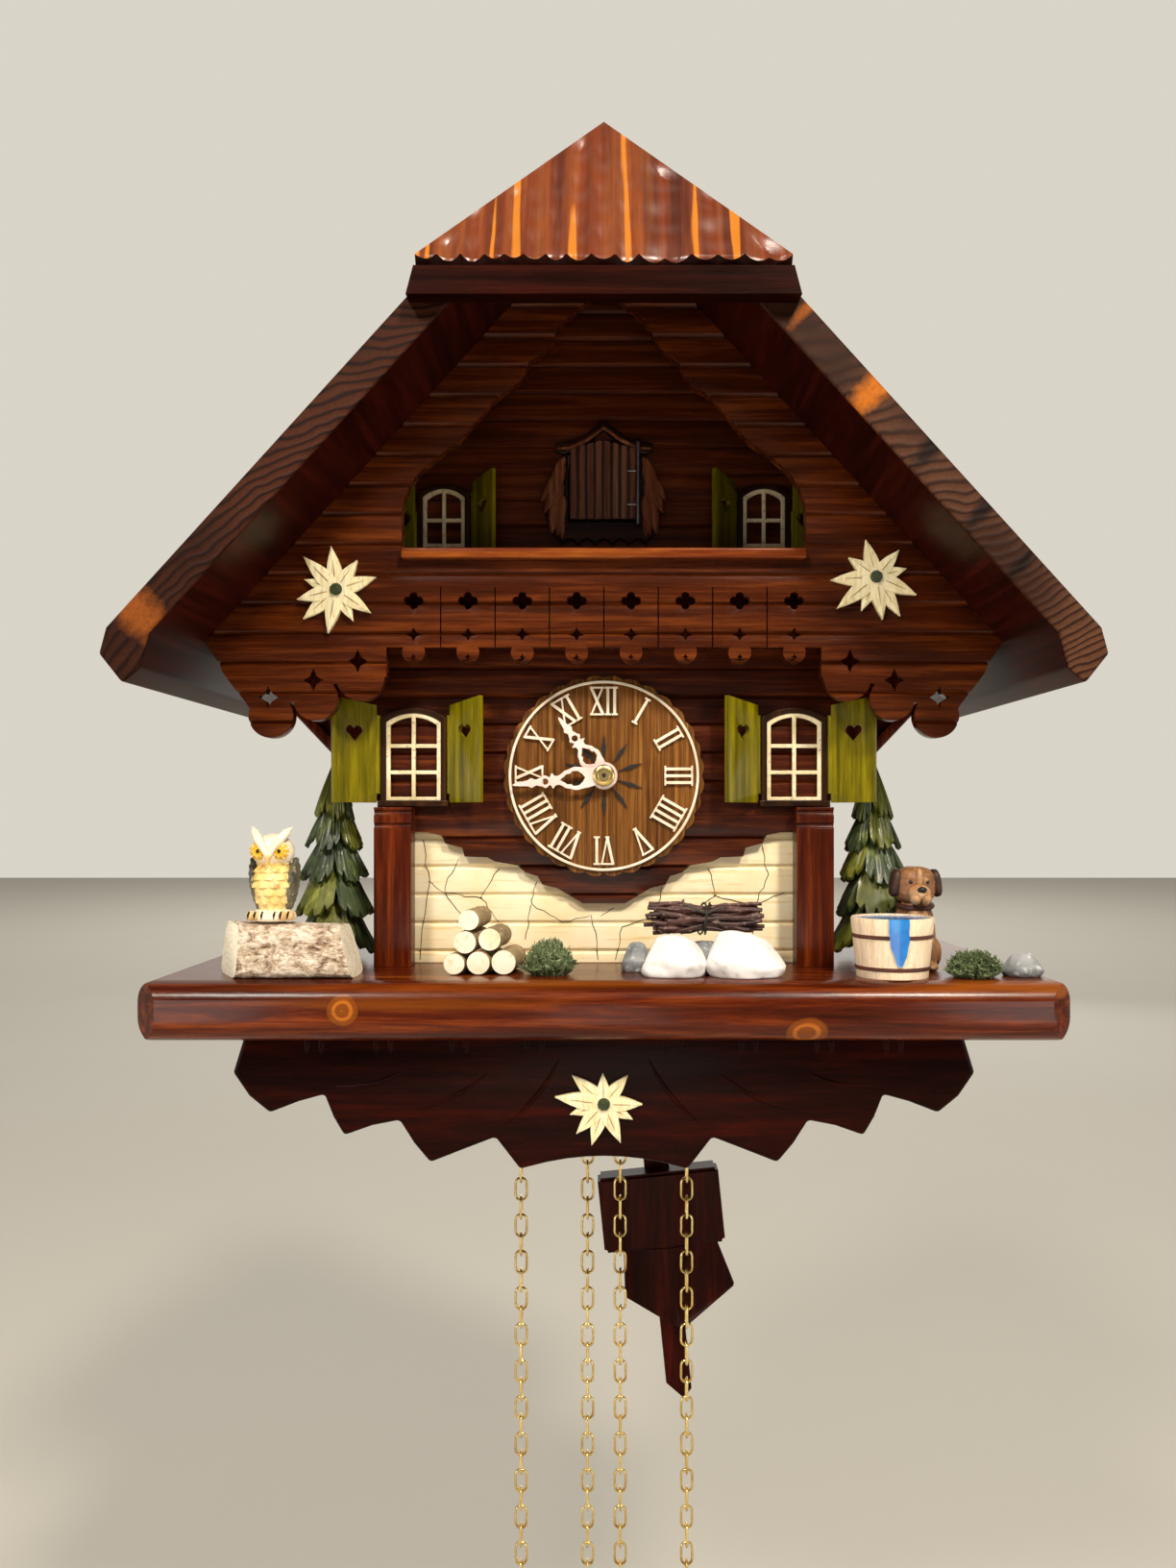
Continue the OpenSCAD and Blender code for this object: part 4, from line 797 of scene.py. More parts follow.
def door_surround():
    """Small carved house front: swept roof, overlapping feathered leaves at the sides, scallops below."""
    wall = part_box("door_surround")[1].y / MM
    roof = [(0, -7), (2.4, -9.4), (6, -12.2), (10, -14.2), (13.5, -15.2), (17.6, -15.8), (17.3, -18.8),
            (14.6, -19.8), (9, -17.8), (4, -14.2), (0, -11.0)]
    roof_outline = roof + [(-x, z) for x, z in roof[-2:0:-1]]
    side = [(12.8, -18.6), (15.4, -20), (17.2, -25), (19.6, -32), (21.4, -38), (20.4, -44), (17.6, -49),
            (14.6, -51.4), (12.8, -50)]
    forms = [(sheet_form([roof_outline], wall - 3.4, 3.4, 0.6, 3), 1)]
    rim = [(0, -9.6), (6, -14.0), (12.5, -17.0), (17, -17.4), (16.8, -18.2), (12.3, -18.2), (5.8, -15.4),
           (0, -11.0)]
    forms.append((sheet_form([rim + [(-x, z) for x, z in rim[-2:0:-1]]], wall - 3.8, 1.4, 0.35, 2), 0))
    scallops = [(15.5 - 31.0 * i / 80,
                 -52.0 + 2.3 * abs(math.sin(math.pi * (31.0 - 31.0 * i / 80) / 6.2)) - 0.2)
                for i in range(81)]
    forms.append((sheet_form([[(-15.5, -43.8), (15.5, -43.8)] + scallops], wall - 2.6, 2.6, 0.5, 2), 1))
    leaves = [((14.0, -20.5), -62, 11, 3.4), ((14.4, -22.5), -74, 14, 3.6), ((16.4, -26.0), -60, 12.5, 3.4),
              ((15.2, -28.5), -78, 15, 3.8), ((17.6, -32.0), -66, 10, 3.2), ((14.6, -34.0), -82, 15.5, 3.8),
              ((17.6, -36.5), -84, 12, 3.4), ((15.4, -40.0), -92, 10.5, 3.0)]
    for s in (-1, 1):
        outline = [(s * x, z) for x, z in side]
        forms.append((sheet_form([outline if s < 0 else outline[::-1]], wall - 1.6, 1.6, 0.3, 2), 1))
        for k, ((x, z), a, length, w) in enumerate(leaves):
            leaf = [(length * u, w / 2 * math.sin(math.pi * u**0.8) ** 0.7)
                    for u in [i / 14 for i in range(15)]]
            leaf += [(p, -q) for p, q in leaf[-2:0:-1]]
            a = math.radians(a if s > 0 else 180 - a)
            turned = [(p * math.cos(a) - q * math.sin(a), p * math.sin(a) + q * math.cos(a)) for p, q in leaf]
            if s < 0:
                turned = turned[::-1]
            forms.append((sheet_form([turned], wall - 3.3 + 0.13 * (k % 4), 1.9, 0.75, 3, (s * x, z)), 0))
    bm = merged(forms)
    for z in (-45.9, -15.4):
        add_lathe(bm, [(0.0013, 0), (0.0013, 0.0006)], mm(12.2, -70.4, z), 16, 1)
    piece("door_frame", bm, ["carving", "carving_dark"], stands_for=["door_surround"])


door_leaf()
door_surround()

# ---------------------------------------------------------------- dial and hands


def numerals():
    """Serifed Roman numerals in raised strokes, and the ring round them."""
    low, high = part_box("dial_numerals")
    front, t = low.y / MM, (high.y - low.y) / MM
    cx, cz = 0.0, middle("dial_numerals").z / MM
    words = ["XII", "I", "II", "III", "IIII", "V", "VI", "VII", "VIII", "IX", "X", "XI"]
    wide = {"I": 2.3, "V": 4.8, "X": 5.0}
    h, thin, thick, serif = 9.0, 0.62, 0.98, 0.62

    def bar(x0, z0, x1, z1, w):
        d = Vector((x1 - x0, z1 - z0)).normalized()
        n = Vector((-d.y, d.x)) * w / 2
        return [(x0 + n.x, z0 + n.y), (x0 - n.x, z0 - n.y), (x1 - n.x, z1 - n.y), (x1 + n.x, z1 + n.y)]

    forms = [sheet_form([ring_points(32.1, 96), ring_points(31.2, 96)[::-1]], front, t, 0.2, 2, (cx, cz))]
    for k, word in enumerate(words):
        total = sum(wide[c] for c in word)
        x = -total / 2
        squeeze = min(1.0, 12.5 / total)
        angle = -30 * k
        for c in word:
            mid, half = (x + wide[c] / 2) * squeeze, wide[c] / 2 * squeeze
            strokes = []
            if c == "I":
                strokes.append(bar(mid, -h / 2, mid, h / 2, thick))
            if c in "VX":
                low_l = -1 if c == "X" else 0
                strokes.append(bar(mid - half * 0.8, h / 2, mid - half * 0.8 * low_l, -h / 2, thick))
                strokes.append(bar(mid + half * 0.75, h / 2, mid + half * 0.75 * low_l, -h / 2, thin))
            ends = [(-h / 2, half * {"I": 0.92, "V": 0.3, "X": 0.95}[c]), (h / 2, half * 0.95)]
            for z, reach in ends:
                strokes.append(bar(mid - reach, z, mid + reach, z, serif))
            for i, stroke in enumerate(strokes):
                placed = [(p, q + 25.2) for p, q in stroke]
                forms.append(sheet_form([placed], front + 0.02 * i, t - 0.02 * i, 0.12, 1, (cx, cz), angle))
            x += wide[c]
    piece("numeral_ring", merged(forms), ["letters"], stands_for=["dial_numerals"])


numerals()


def hand(node, name, length, hub, angle, body):
    """Openwork hand: broad heart-shaped eye, small ears, a pierced ring and a leaf tip."""
    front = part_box(node)[0].y / MM
    z0 = middle("dial_disc").z / MM
    edge = [(0.1, 3.0), (0.2, 3.5), (0.31, 3.9), (0.4, 3.1), (0.5, 1.5), (0.53, 1.6), (0.56, 2.6),
            (0.59, 1.3), (0.64, 2.15), (0.69, 1.4), (0.74, 0.95), (0.79, 1.6), (0.84, 0.95), (0.9, 0.75),
            (0.97, 0.45), (1.0, 0.1)]
    eye = [(0.205, 0.15), (0.24, 1.5), (0.28, 2.45), (0.33, 2.5), (0.37, 1.7), (0.4, 1.75), (0.44, 0.8),
           (0.475, 0.12)]

    def eased(points):
        out = []
        for (a, p), (b, q) in zip(points, points[1:]):
            for k in range(6):
                u = k / 6
                v = u * u * (3 - 2 * u)
                out.append((p + (q - p) * v, length * (a + (b - a) * u)))
        out.append((points[-1][1], length * points[-1][0]))
        return out + [(-x, z) for x, z in out[::-1]]

    outlines = [eased(edge), eased(eye)[::-1], ring_points(1.05, 24, (0, length * 0.64))[::-1]]
    bore = 1.85 if node == "hour_hand" else 1.15
    forms = [sheet_form(outlines, front, 0.8, 0.14, 2, (0, z0), -angle),
             sheet_form([ring_points(hub, 48), ring_points(bore, 30)[::-1]], front - 0.02, 0.82, 0.14, 2,
                        (0, z0))]
    piece(name, merged(forms), ["hands"], body)


hand("hour_hand", "hour_hand_openwork", length=24.8, hub=4.6, angle=322, body="hour_pipe")
hand("minute_hand", "minute_hand_openwork", length=30.8, hub=4.2, angle=264, body="centre_arbor")


def hand_tube(node, name, behind):
    """The pipe and pinion of a hand: the CAD node cut off behind the flat hand itself."""
    bm = bmesh.new()
    bm.from_mesh(frame["nodes"][node].data)
    bmesh.ops.remove_doubles(bm, verts=bm.verts, dist=2e-6)
    cut = bmesh.ops.bisect_plane(bm, geom=bm.verts[:] + bm.edges[:] + bm.faces[:], plane_co=mm(0, behind, 0),
                                 plane_no=(0, -1, 0), clear_outer=True)
    rim = [e for e in cut["geom_cut"] if isinstance(e, bmesh.types.BMEdge)]
    bmesh.ops.triangle_fill(bm, edges=rim, use_dissolve=True)
    piece(name, bm, ["plate_brass"], NODE_BODY[node], [node])


hand_tube("hour_hand", "hour_pipe_wheel", -96.2)
hand_tube("minute_hand", "minute_pipe_pinion", -97.8)


def hand_nut():
    """Domed brass washer, fluted nut and the tip of the arbor."""
    low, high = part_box("hand_nut")
    r, depth = (high.x - low.x) / 2, high.y - low.y
    bm = bmesh.new()
    add_lathe(bm, [(0.0011, 0), (r, 0), (r, depth * 0.12), (r * 0.9, depth * 0.26), (r * 0.62, depth * 0.34)],
              (0, 0, 0), 48, 0)
    add_lathe(bm, [(r * 0.58, depth * 0.3), (r * 0.58, depth * 0.8), (r * 0.48, depth * 0.9),
                   (r * 0.22, depth * 0.9)], (0, 0, 0), 72, 0, lambda a, k: 1 + 0.035 * math.cos(18 * a))
    add_lathe(bm, [(r * 0.2, depth * 0.5), (r * 0.2, depth * 0.97), (r * 0.12, depth)], (0, 0, 0), 20, 1)
    place = Matrix.Translation(Vector((0, high.y, middle("hand_nut").z)))
    bm.transform(place @ Matrix.Rotation(math.pi / 2, 4, "X"))
    piece("hand_nut_brass", bm, ["brass", "star"], "centre_arbor", ["hand_nut"])


hand_nut()

# ---------------------------------------------------------------- flowers

LEFT = [(98, 14.3), (56, 11.6), (19, 13.2), (-34, 13.1), (-63, 11.2), (-102, 14.2), (-140, 14.4),
        (-167, 13.3), (162, 11.1), (135, 15.2)]
RIGHT = [(104, 12.6), (49, 11.6), (16, 10.6), (-23, 14.4), (-57, 14.9), (-80, 13.8), (-112, 11.6),
         (-141, 15.9), (-177, 14.4), (143, 10.7)]
APRON = [(139, 13.4), (92, 9.4), (49, 11.6), (-2, 12.2), (-30, 10.5), (-67, 13.6), (-106, 14), (-132, 13),
         (-161, 11.3), (173, 15.6)]


def flower(bm, x, z, back, petals):
    """Carved wooden edelweiss: creased petals that rise to the middle, engraved veins, a seeded boss."""
    for k, (angle, length) in enumerate(petals):
        a = math.radians(angle)
        out, across = Vector((math.cos(a), 0, math.sin(a))), Vector((-math.sin(a), 0, math.cos(a)))
        lift = -1.7 - 0.45 * (k % 2)
        rows = []
        n = 14
        for i in range(n + 1):
            t = i / n
            w = 2.45 * math.sin(math.pi * min(1.0, t * 0.84 + 0.16) ** 0.82) * (length / 13.5) ** 0.5
            w = max(w, 0.04)
            row = []
            for j in (-1, -0.55, 0, 0.55, 1):
                crease = 0.35 * (1 - abs(j)) - 0.5
                depth = lift - 0.9 * (1 - t) + 0.42 * abs(j) + 0.2 * crease
                row.append(bm.verts.new((Vector((x, back, z)) + out * (t * length) + across * (w * j)
                                         + Vector((0, depth, 0))) * MM))
            rows.append(row)
        base = []
        for i in range(n + 1):
            base.append([bm.verts.new(Vector((v.co.x, (back - 0.15) * MM, v.co.z)))
                         for v in (rows[i][0], rows[i][-1])])
        for i in range(n):
            for j in range(4):
                bm.faces.new((rows[i][j], rows[i][j + 1], rows[i + 1][j + 1], rows[i + 1][j]))
            bm.faces.new((base[i][0], rows[i][0], rows[i + 1][0], base[i + 1][0]))
            bm.faces.new((rows[i][-1], base[i][1], base[i + 1][1], rows[i + 1][-1]))
            bm.faces.new((base[i][1], base[i][0], base[i + 1][0], base[i + 1][1]))
        bm.faces.new([base[0][0], base[0][1], *rows[0][::-1]])
        bm.faces.new([base[n][1], base[n][0], *rows[n]])
        veins = [mm(x, back, z) + (out * (length * t) + Vector((0, lift - 0.9 * (1 - t) - 0.12, 0))) * MM
                 for t in (0.24, 0.4, 0.55, 0.68)]
        add_tube(bm, veins, [0.0001, 0.00014, 0.0001, 0.00005], 5, 1)
    add_ball(bm, mm(x, back - 3.0, z), (0.0020, 0.0012, 0.0020), 2, cuts=3)
    rng = random.Random(3)
    for i in range(34):
        a, r = i * GOLDEN_ANGLE, 1.8 * math.sqrt(i / 34)
        add_ball(bm, mm(x + r * math.cos(a), back - 3.0 - 1.05 * math.sqrt(max(0.0, 1 - (r / 2.0) ** 2)),
                        z + r * math.sin(a)),
                 [rng.uniform(0.00028, 0.00042)] * 3, 2, cuts=1)


def edelweiss():
    bm = bmesh.new()
    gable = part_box("gable_front")[0].y / MM
    flower(bm, -86.2, -76.8, gable, LEFT)
    flower(bm, 87.7, -72.7, gable, RIGHT)
    flower(bm, 0.0, -240.6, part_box("apron")[0].y / MM, APRON)
    piece("edelweiss_flowers", bm, ["petal", "vein", "floret"], stands_for=["edelweiss"], sharp=30)


edelweiss()

# ---------------------------------------------------------------- figures on the base


def half_log():
    """Split log with rough pale bark on its front and top and a face sawn askew at its left."""
    low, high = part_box("half_log")
    bm = bmesh.new()
    cols, rows = 72, 48
    rings = []
    for i in range(cols + 1):
        t = i / cols
        ring = []
        for k in range(rows):
            a = 2 * math.pi * k / rows
            c, s = math.cos(a), math.sin(a)
            deep = math.copysign(abs(c) ** 0.42, c) * 0.0102
            up = math.copysign(abs(s) ** 0.36, s) * 0.5 + 0.5
            y = middle("half_log").y - 0.0001 + deep * (1 - 0.20 * up)
            start = low.x + 0.0115 * (high.y - y) / (high.y - low.y) + 0.0016 * up
            end = high.x - 0.0042 * up
            x = start + (end - start) * t
            top = (high.z - low.z) * (0.97 - 0.05 * t)
            z = low.z + up * top
            rough = 0.0
            if 0 < i < cols and up > 0.02:
                rough = 0.0006 * noise.noise(Vector((x * 170, y * 300, z * 300)))
                rough += 0.00035 * noise.noise(Vector((x * 600, y * 800, z * 800)))
            ring.append(bm.verts.new((x, y - abs(rough) * (c < 0) + abs(rough) * (c > 0),
                                      min(z + rough * 0.5, high.z))))
        rings.append(ring)
    skin(bm, rings)
    cap_ends(bm, rings, 1)
    piece("bark_log", bm, ["bark", "cut"], stands_for=["half_log"], sharp=60)


half_log()


def owl():
    """Carved owl: scalloped breast, V-shaped brow with ear tufts, ringed eyes, folded wings, clawed feet."""
    x, y, z0 = middle("owl").x, middle("owl").y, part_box("owl")[0].z
    bm = bmesh.new()

    def at(right, back, up):
        return Vector((x, y, z0)) + mm(right, back, up)

    def feathers(v):
        row = math.floor((v.z + 1) * 4.2)
        fall = (v.z + 1) * 4.2 - row
        scallop = abs(math.sin(math.atan2(v.x, -v.y) * 5 + row * math.pi / 2))
        pinch = 1 - 0.20 * max(0.0, -v.z) ** 1.5
        return Vector((v.x * pinch, v.y * pinch, v.z)) * (0.97 + 0.13 * (1 - fall) * scallop)

    add_ball(bm, at(0, 0, 10.8), (0.0066, 0.0060, 0.0098), 0, cuts=6, shape=feathers)
    add_ball(bm, at(0, -0.2, 21.6), (0.0066, 0.0056, 0.0056), 5, cuts=5)
    add_lathe(bm, [(0.0066, 0.0), (0.0071, 0.0008), (0.0068, 0.0022), (0.0050, 0.0034)], at(0, 0, 0), 40, 5)
    for s in (-1, 1):
        lean = Matrix.Rotation(math.radians(s * 9), 3, "Y")
        add_ball(bm, at(s * 5.4, 1.4, 10.6), (0.0019, 0.0050, 0.0088), 1, lean, 5, feathers)
        brow = [at(0, -6.1, 19.6), at(s * 1.4, -6.2, 22.6), at(s * 3.2, -5, 25.2), at(s * 5, -3, 27.6),
                at(s * 6.2, -1.4, 29.3)]
        add_tube(bm, brow, [0.0007, 0.0011, 0.0015, 0.0013, 0.0002], 10, 5)
        face = at(s * 3.3, -4.9, 21.8)
        for i in range(18):
            a = 2 * math.pi * i / 18
            ray = Vector((math.cos(a), 0.0, math.sin(a)))
            add_tube(bm, [face + ray * 0.0014 + Vector((0, -0.0007, 0)),
                          face + ray * 0.0027 + Vector((0, 0.0003, 0))],
                     [0.0005, 0.0004], 6, 0 if i % 2 else 2)
        add_ball(bm, face, (0.0019, 0.0012, 0.0019), 2, cuts=3)
        add_ball(bm, face + Vector((0, -0.0010, 0)), (0.0006, 0.0005, 0.0007), 3, cuts=3)
        for toe in (-1, 0, 1):
            foot = at(s * 4 + toe * 2.1, -4.2 + 0.6 * abs(toe), 1.6)
            add_ball(bm, foot, (0.0013, 0.0030, 0.0016), 4, cuts=3)
            add_tube(bm, [foot + Vector((0, -0.0018, 0.0013)), foot + Vector((0, -0.0031, 0.0004)),
                          foot + Vector((0, -0.0034, -0.0009))], [0.0003, 0.0004, 0.0001], 6, 3)
    add_tube(bm, [at(0, -5.2, 20.8), at(0, -7.2, 19.6),
                  at(0, -7, 17.6)], [0.0010, 0.0010, 0.0002], 10, 4)
    tail = [at(0, 4, 9), at(0, 6, 4), at(0, 6.6, 0.6)]
    add_tube(bm, tail, [0.0030, 0.0026, 0.0020], 12, 1)
    piece("owl_figure", bm, ["owl", "owl_dark", "yellow", "black", "orange", "owl_pale"], stands_for=["owl"])


owl()


def fir(bm, x, y, seed):
    """Carved fir: five flaring skirts cut into creased boughs with ragged, drooping lower edges."""
    rng = random.Random(seed)
    low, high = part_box("fir_trees")
    z0, height, reach = low.z, high.z - low.z, 0.0162
    add_lathe(bm, [(0.0036, 0), (0.0030, 0.012), (0.0022, 0.05), (0.0004, height - 0.002)], (x, y, z0), 12, 0)
    tiers, boughs, steps, rows = 5, 5, 16, 10
    for tier in range(tiers):
        t = tier / tiers
        hem = z0 + 0.0025 + (height - 0.0165) * t**0.95
        peak = min(hem + height * (0.34 - 0.08 * t), high.z - 0.0003)
        spread = reach * (1 - t) ** 0.46
        start = rng.uniform(0, math.pi)
        long = [rng.uniform(0.86, 1.0) for _ in range(boughs)]
        wide = [rng.uniform(0.88, 1.0) for _ in range(boughs)]
        shades = [1 if rng.random() < 0.4 else 0 for _ in range(boughs)]
        tops, lows = [], []
        for k in range(rows + 1):
            u = k / rows
            ring = []
            for i in range(boughs * steps):
                b, v = divmod(i, steps)
                v = v / steps
                leaf = math.sin(math.pi * v) ** 0.55
                notch = 0.11 * (i % 4 == 0) * u**3
                crease = 1 - abs(2 * v - 1)
                a = start + 2 * math.pi * (b + v) / boughs
                r = spread * wide[b] * (0.12 + 0.88 * u**1.15) * (1 - (0.22 * (1 - leaf) + notch) * u)
                r += 0.0009 * crease * u * (1 - u) * 4 + 0.00022 * math.sin(7 * 2 * math.pi * v)
                z = peak - (peak - hem) * u * (long[b] * (0.66 + 0.34 * leaf) - notch)
                ring.append(Vector((x + min(r, reach) * math.cos(a), y + min(r, reach) * math.sin(a), z)))
            tops.append([bm.verts.new(p) for p in ring])
            lows.append([bm.verts.new(Vector((x, y, p.z - 0.0009)) + (p - Vector((x, y, p.z))) * 0.9)
                         for p in ring])
        n = boughs * steps
        for i in range(n):
            j = (i + 1) % n
            faces = [bm.faces.new((tops[k + 1][i], tops[k + 1][j], tops[k][j], tops[k][i]))
                     for k in range(rows)]
            faces += [bm.faces.new((lows[k][i], lows[k][j], lows[k + 1][j], lows[k + 1][i]))
                      for k in range(rows)]
            faces.append(bm.faces.new((tops[rows][j], tops[rows][i], lows[rows][i], lows[rows][j])))
            for f in faces:
                f.material_index = shades[i // steps]
        bm.faces.new(tops[0])
        bm.faces.new(lows[0][::-1])


def fir_trees():
    low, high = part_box("fir_trees")
    bm = bmesh.new()
    y = (low.y + high.y) / 2
    for side in (-1, 1):
        fir(bm, side * (high.x - (high.y - low.y) / 2), y, 11 + side)
    piece("fir_pair", bm, ["fir", "fir_light"], stands_for=["fir_trees"], sharp=50)


fir_trees()


def log_stack():
    """Six small rounds with cork-like bark and pale cut faces."""
    rng = random.Random(8)
    places = [(-47.2, -196.4, 3.5), (-39.6, -196.1, 3.8), (-31.6, -195.9, 4.0), (-43.8, -189.6, 3.7),
              (-36.0, -188.7, 3.7), (-42.6, -182.6, 3.4)]
    bm = bmesh.new()
    front, back = -121.0, -103.0
    for x, z, r in places:
        sides, rows = 36, 18
        rings = []
        lean = rng.uniform(2.0, 3.6)
        for i in range(rows + 1):
            t = i / rows
            ring = []
            for k in range(sides):
                a = 2 * math.pi * k / sides
                q = r - 0.12
                if 0 < i < rows:
                    q += 0.22 * noise.noise(Vector((x + 3 * math.cos(a), 3 * math.sin(a), t * 9)))
                else:
                    q -= 0.12
                ring.append(bm.verts.new(mm(x + q * math.cos(a) + lean * t, front + (back - front) * t,
                                            z + q * math.sin(a))))
            rings.append(ring)
        skin(bm, rings)
        for end, y_face, shift in ((rings[0], front, 0.0), (rings[-1], back, lean)):
            centre = mm(x + shift, y_face, z)
            inner = [bm.verts.new(centre + (v.co - centre) * 0.8) for v in end]
            for k in range(sides):
                bm.faces.new((end[k], end[(k + 1) % sides], inner[(k + 1) % sides],
                              inner[k])).material_index = 1
            heart = bm.verts.new(centre)
            for k in range(sides):
                bm.faces.new((inner[k], inner[(k + 1) % sides], heart)).material_index = 1
    piece("cut_rounds", bm, ["cork", "round"], stands_for=["log_stack"], sharp=40)


log_stack()


def moss():
    """Dried moss: tufts of fine forked sprigs."""
    rng = random.Random(21)
    bm = bmesh.new()
    for x, y, r, h in ((-17.4, -118, 9.3, 12.6), (115.6, -124, 9.4, 9.2)):
        for _ in range(300):
            a, u = rng.uniform(0, 2 * math.pi), math.sqrt(rng.random())
            lean = Vector((math.cos(a), math.sin(a), 0)) * u
            foot = Vector((x, y, -200)) + lean * r * 0.55
            tip_h = h * math.sqrt(max(0.05, 1 - u * u)) * rng.uniform(0.72, 1.0)
            tip = Vector((x, y, -200)) + lean * r * rng.uniform(0.8, 1.08) + Vector((0, 0, tip_h))
            mid = (foot + tip) / 2 + Vector((rng.uniform(-1, 1), rng.uniform(-1, 1), rng.uniform(0, 0.8)))
            add_tube(bm, [foot * MM, mid * MM, tip * MM], [0.0004, 0.00034, 0.0001], 4)
            for _ in range(3):
                t = rng.uniform(0.35, 0.95)
                start = foot.lerp(mid, t * 2) if t < 0.5 else mid.lerp(tip, t * 2 - 1)
                fork = Vector((rng.uniform(-1, 1), rng.uniform(-1, 1),
                               rng.uniform(-0.2, 1))).normalized() * rng.uniform(0.9, 1.9)
                end = start + fork
                end.z = max(end.z, -199.7)
                add_tube(bm, [start * MM, end * MM], [0.00032, 0.00012], 4)
    piece("moss_tufts", bm, ["moss"], stands_for=["moss"], sharp=60)


moss()


def brushwood():
    """Bundle of knotty twigs, some askew, bound with dark wire round its middle."""
    rng = random.Random(4)
    low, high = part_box("brushwood")
    bm = bmesh.new()
    y, z, r = middle("brushwood").y, middle("brushwood").z, (high.z - low.z) / 2
    count = 46
    for i in range(count):
        a, q = i * GOLDEN_ANGLE, (r - 0.0012) * math.sqrt((i + 0.5) / count)
        y0, z0 = q * math.cos(a), q * math.sin(a)
        a2 = a + rng.uniform(-1.7, 1.7)
        y1, z1 = q * math.cos(a2), q * math.sin(a2)
        x0, x1 = low.x + rng.uniform(0, 0.008), high.x - rng.uniform(0, 0.008)
        fat = rng.uniform(0.00045, 0.0010)
        points, radii = [], []
        for k in range(12):
            t = k / 11
            pinch = 1 - 0.30 * math.exp(-(((t - 0.5) / 0.13) ** 2))
            sway = Vector((0, rng.uniform(-1, 1), rng.uniform(-1, 1))) * 0.00035
            points.append(Vector((x0 + (x1 - x0) * t, y + (y0 + (y1 - y0) * t) * pinch,
                                  z + (z0 + (z1 - z0) * t) * pinch)) + sway)
            radii.append(fat * (rng.uniform(1.2, 1.5) if rng.random() < 0.15 else rng.uniform(0.8, 1.0)))
        add_tube(bm, points, radii, 7)
        if i % 4 == 0:
            k = rng.randint(2, 8)
            spur = Vector((rng.uniform(-1, 1), y0 * 90, z0 * 90)).normalized() * 0.0022
            add_tube(bm, [points[k], points[k] + spur], [fat * 0.7, fat * 0.3], 6)
    for turn in (-0.0009, 0.0009):
        loop = []
        for k in range(28):
            t = 2 * math.pi * k / 28
            loop.append(Vector((middle("brushwood").x + turn + 0.0011 * math.sin(t + turn * 900),
                                y + r * 0.8 * math.cos(t), z + r * 0.8 * math.sin(t))))
        add_tube(bm, loop, [0.00032] * 28, 6, 1, closed=True)
    for s in (-1, 1):
        end = [Vector((middle("brushwood").x, y - r * 0.8, z + r * 0.3)),
               Vector((middle("brushwood").x + s * 0.003, y - r * 0.95, z + r * 0.5)),
               Vector((middle("brushwood").x + s * 0.0075, y - r * 0.7, z + r * 0.72))]
        add_tube(bm, end, [0.0004, 0.00035, 0.0002], 6, 1)
    piece("twig_bundle", bm, ["twig", "wire"], stands_for=["brushwood"], sharp=50)


brushwood()


def pebble(bm, x, y, rx, ry, h, slot, seed, lean=0.0):
    """Worn stone that stands on the base, its top leaning to one side."""
    offset = Vector((seed * 3.1, seed * 1.7, seed))

    def worn(v):
        q = v * (1 + 0.15 * noise.noise(v * 1.1 + offset) + 0.05 * noise.noise(v * 3.2 + offset))
        for way in (Vector((0.8, -0.3, 0.55)), Vector((-0.55, -0.5, 0.67)), Vector((0.1, -0.75, 0.65)),
                    Vector((-0.9, 0.1, 0.4))):
            way = way.normalized()
            over = q.dot(way) - (0.80 + 0.07 * noise.noise(way * 5 + offset))
            if over > 0:
                q -= way * over * 0.8
        q.z = max(q.z, -0.5)
        q.x += lean * (q.z + 0.5)
        return q

    verts = add_ball(bm, mm(x, y, -200), (rx * MM, ry * MM, rx * MM), slot, cuts=5, shape=worn)
    foot, top = min(v.co.z for v in verts), max(v.co.z for v in verts)
    for v in verts:
        v.co.z = BASE_TOP + (v.co.z - foot) * h * MM / (top - foot)


def stones():
    bm = bmesh.new()
    pebble(bm, 22.4, -121, 10.4, 9.0, 12.8, 0, 1, -0.05)
    pebble(bm, 44.6, -122, 12.2, 9.6, 14.2, 0, 2, -0.16)
    # the hidden middle stone is grey as painted shade, for the shadow behind the white stones
    pebble(bm, 33.0, -108, 10.0, 7.0, 9.8, 1, 3)
    pebble(bm, 10.6, -110, 5.0, 4.6, 9.4, 1, 4)
    pebble(bm, 131.6, -122, 6.2, 5.4, 7.4, 1, 6)
    piece("pebbles", bm, ["white_stone", "grey_stone_and_painted_shade"], stands_for=["stones"], sharp=70)


stones()


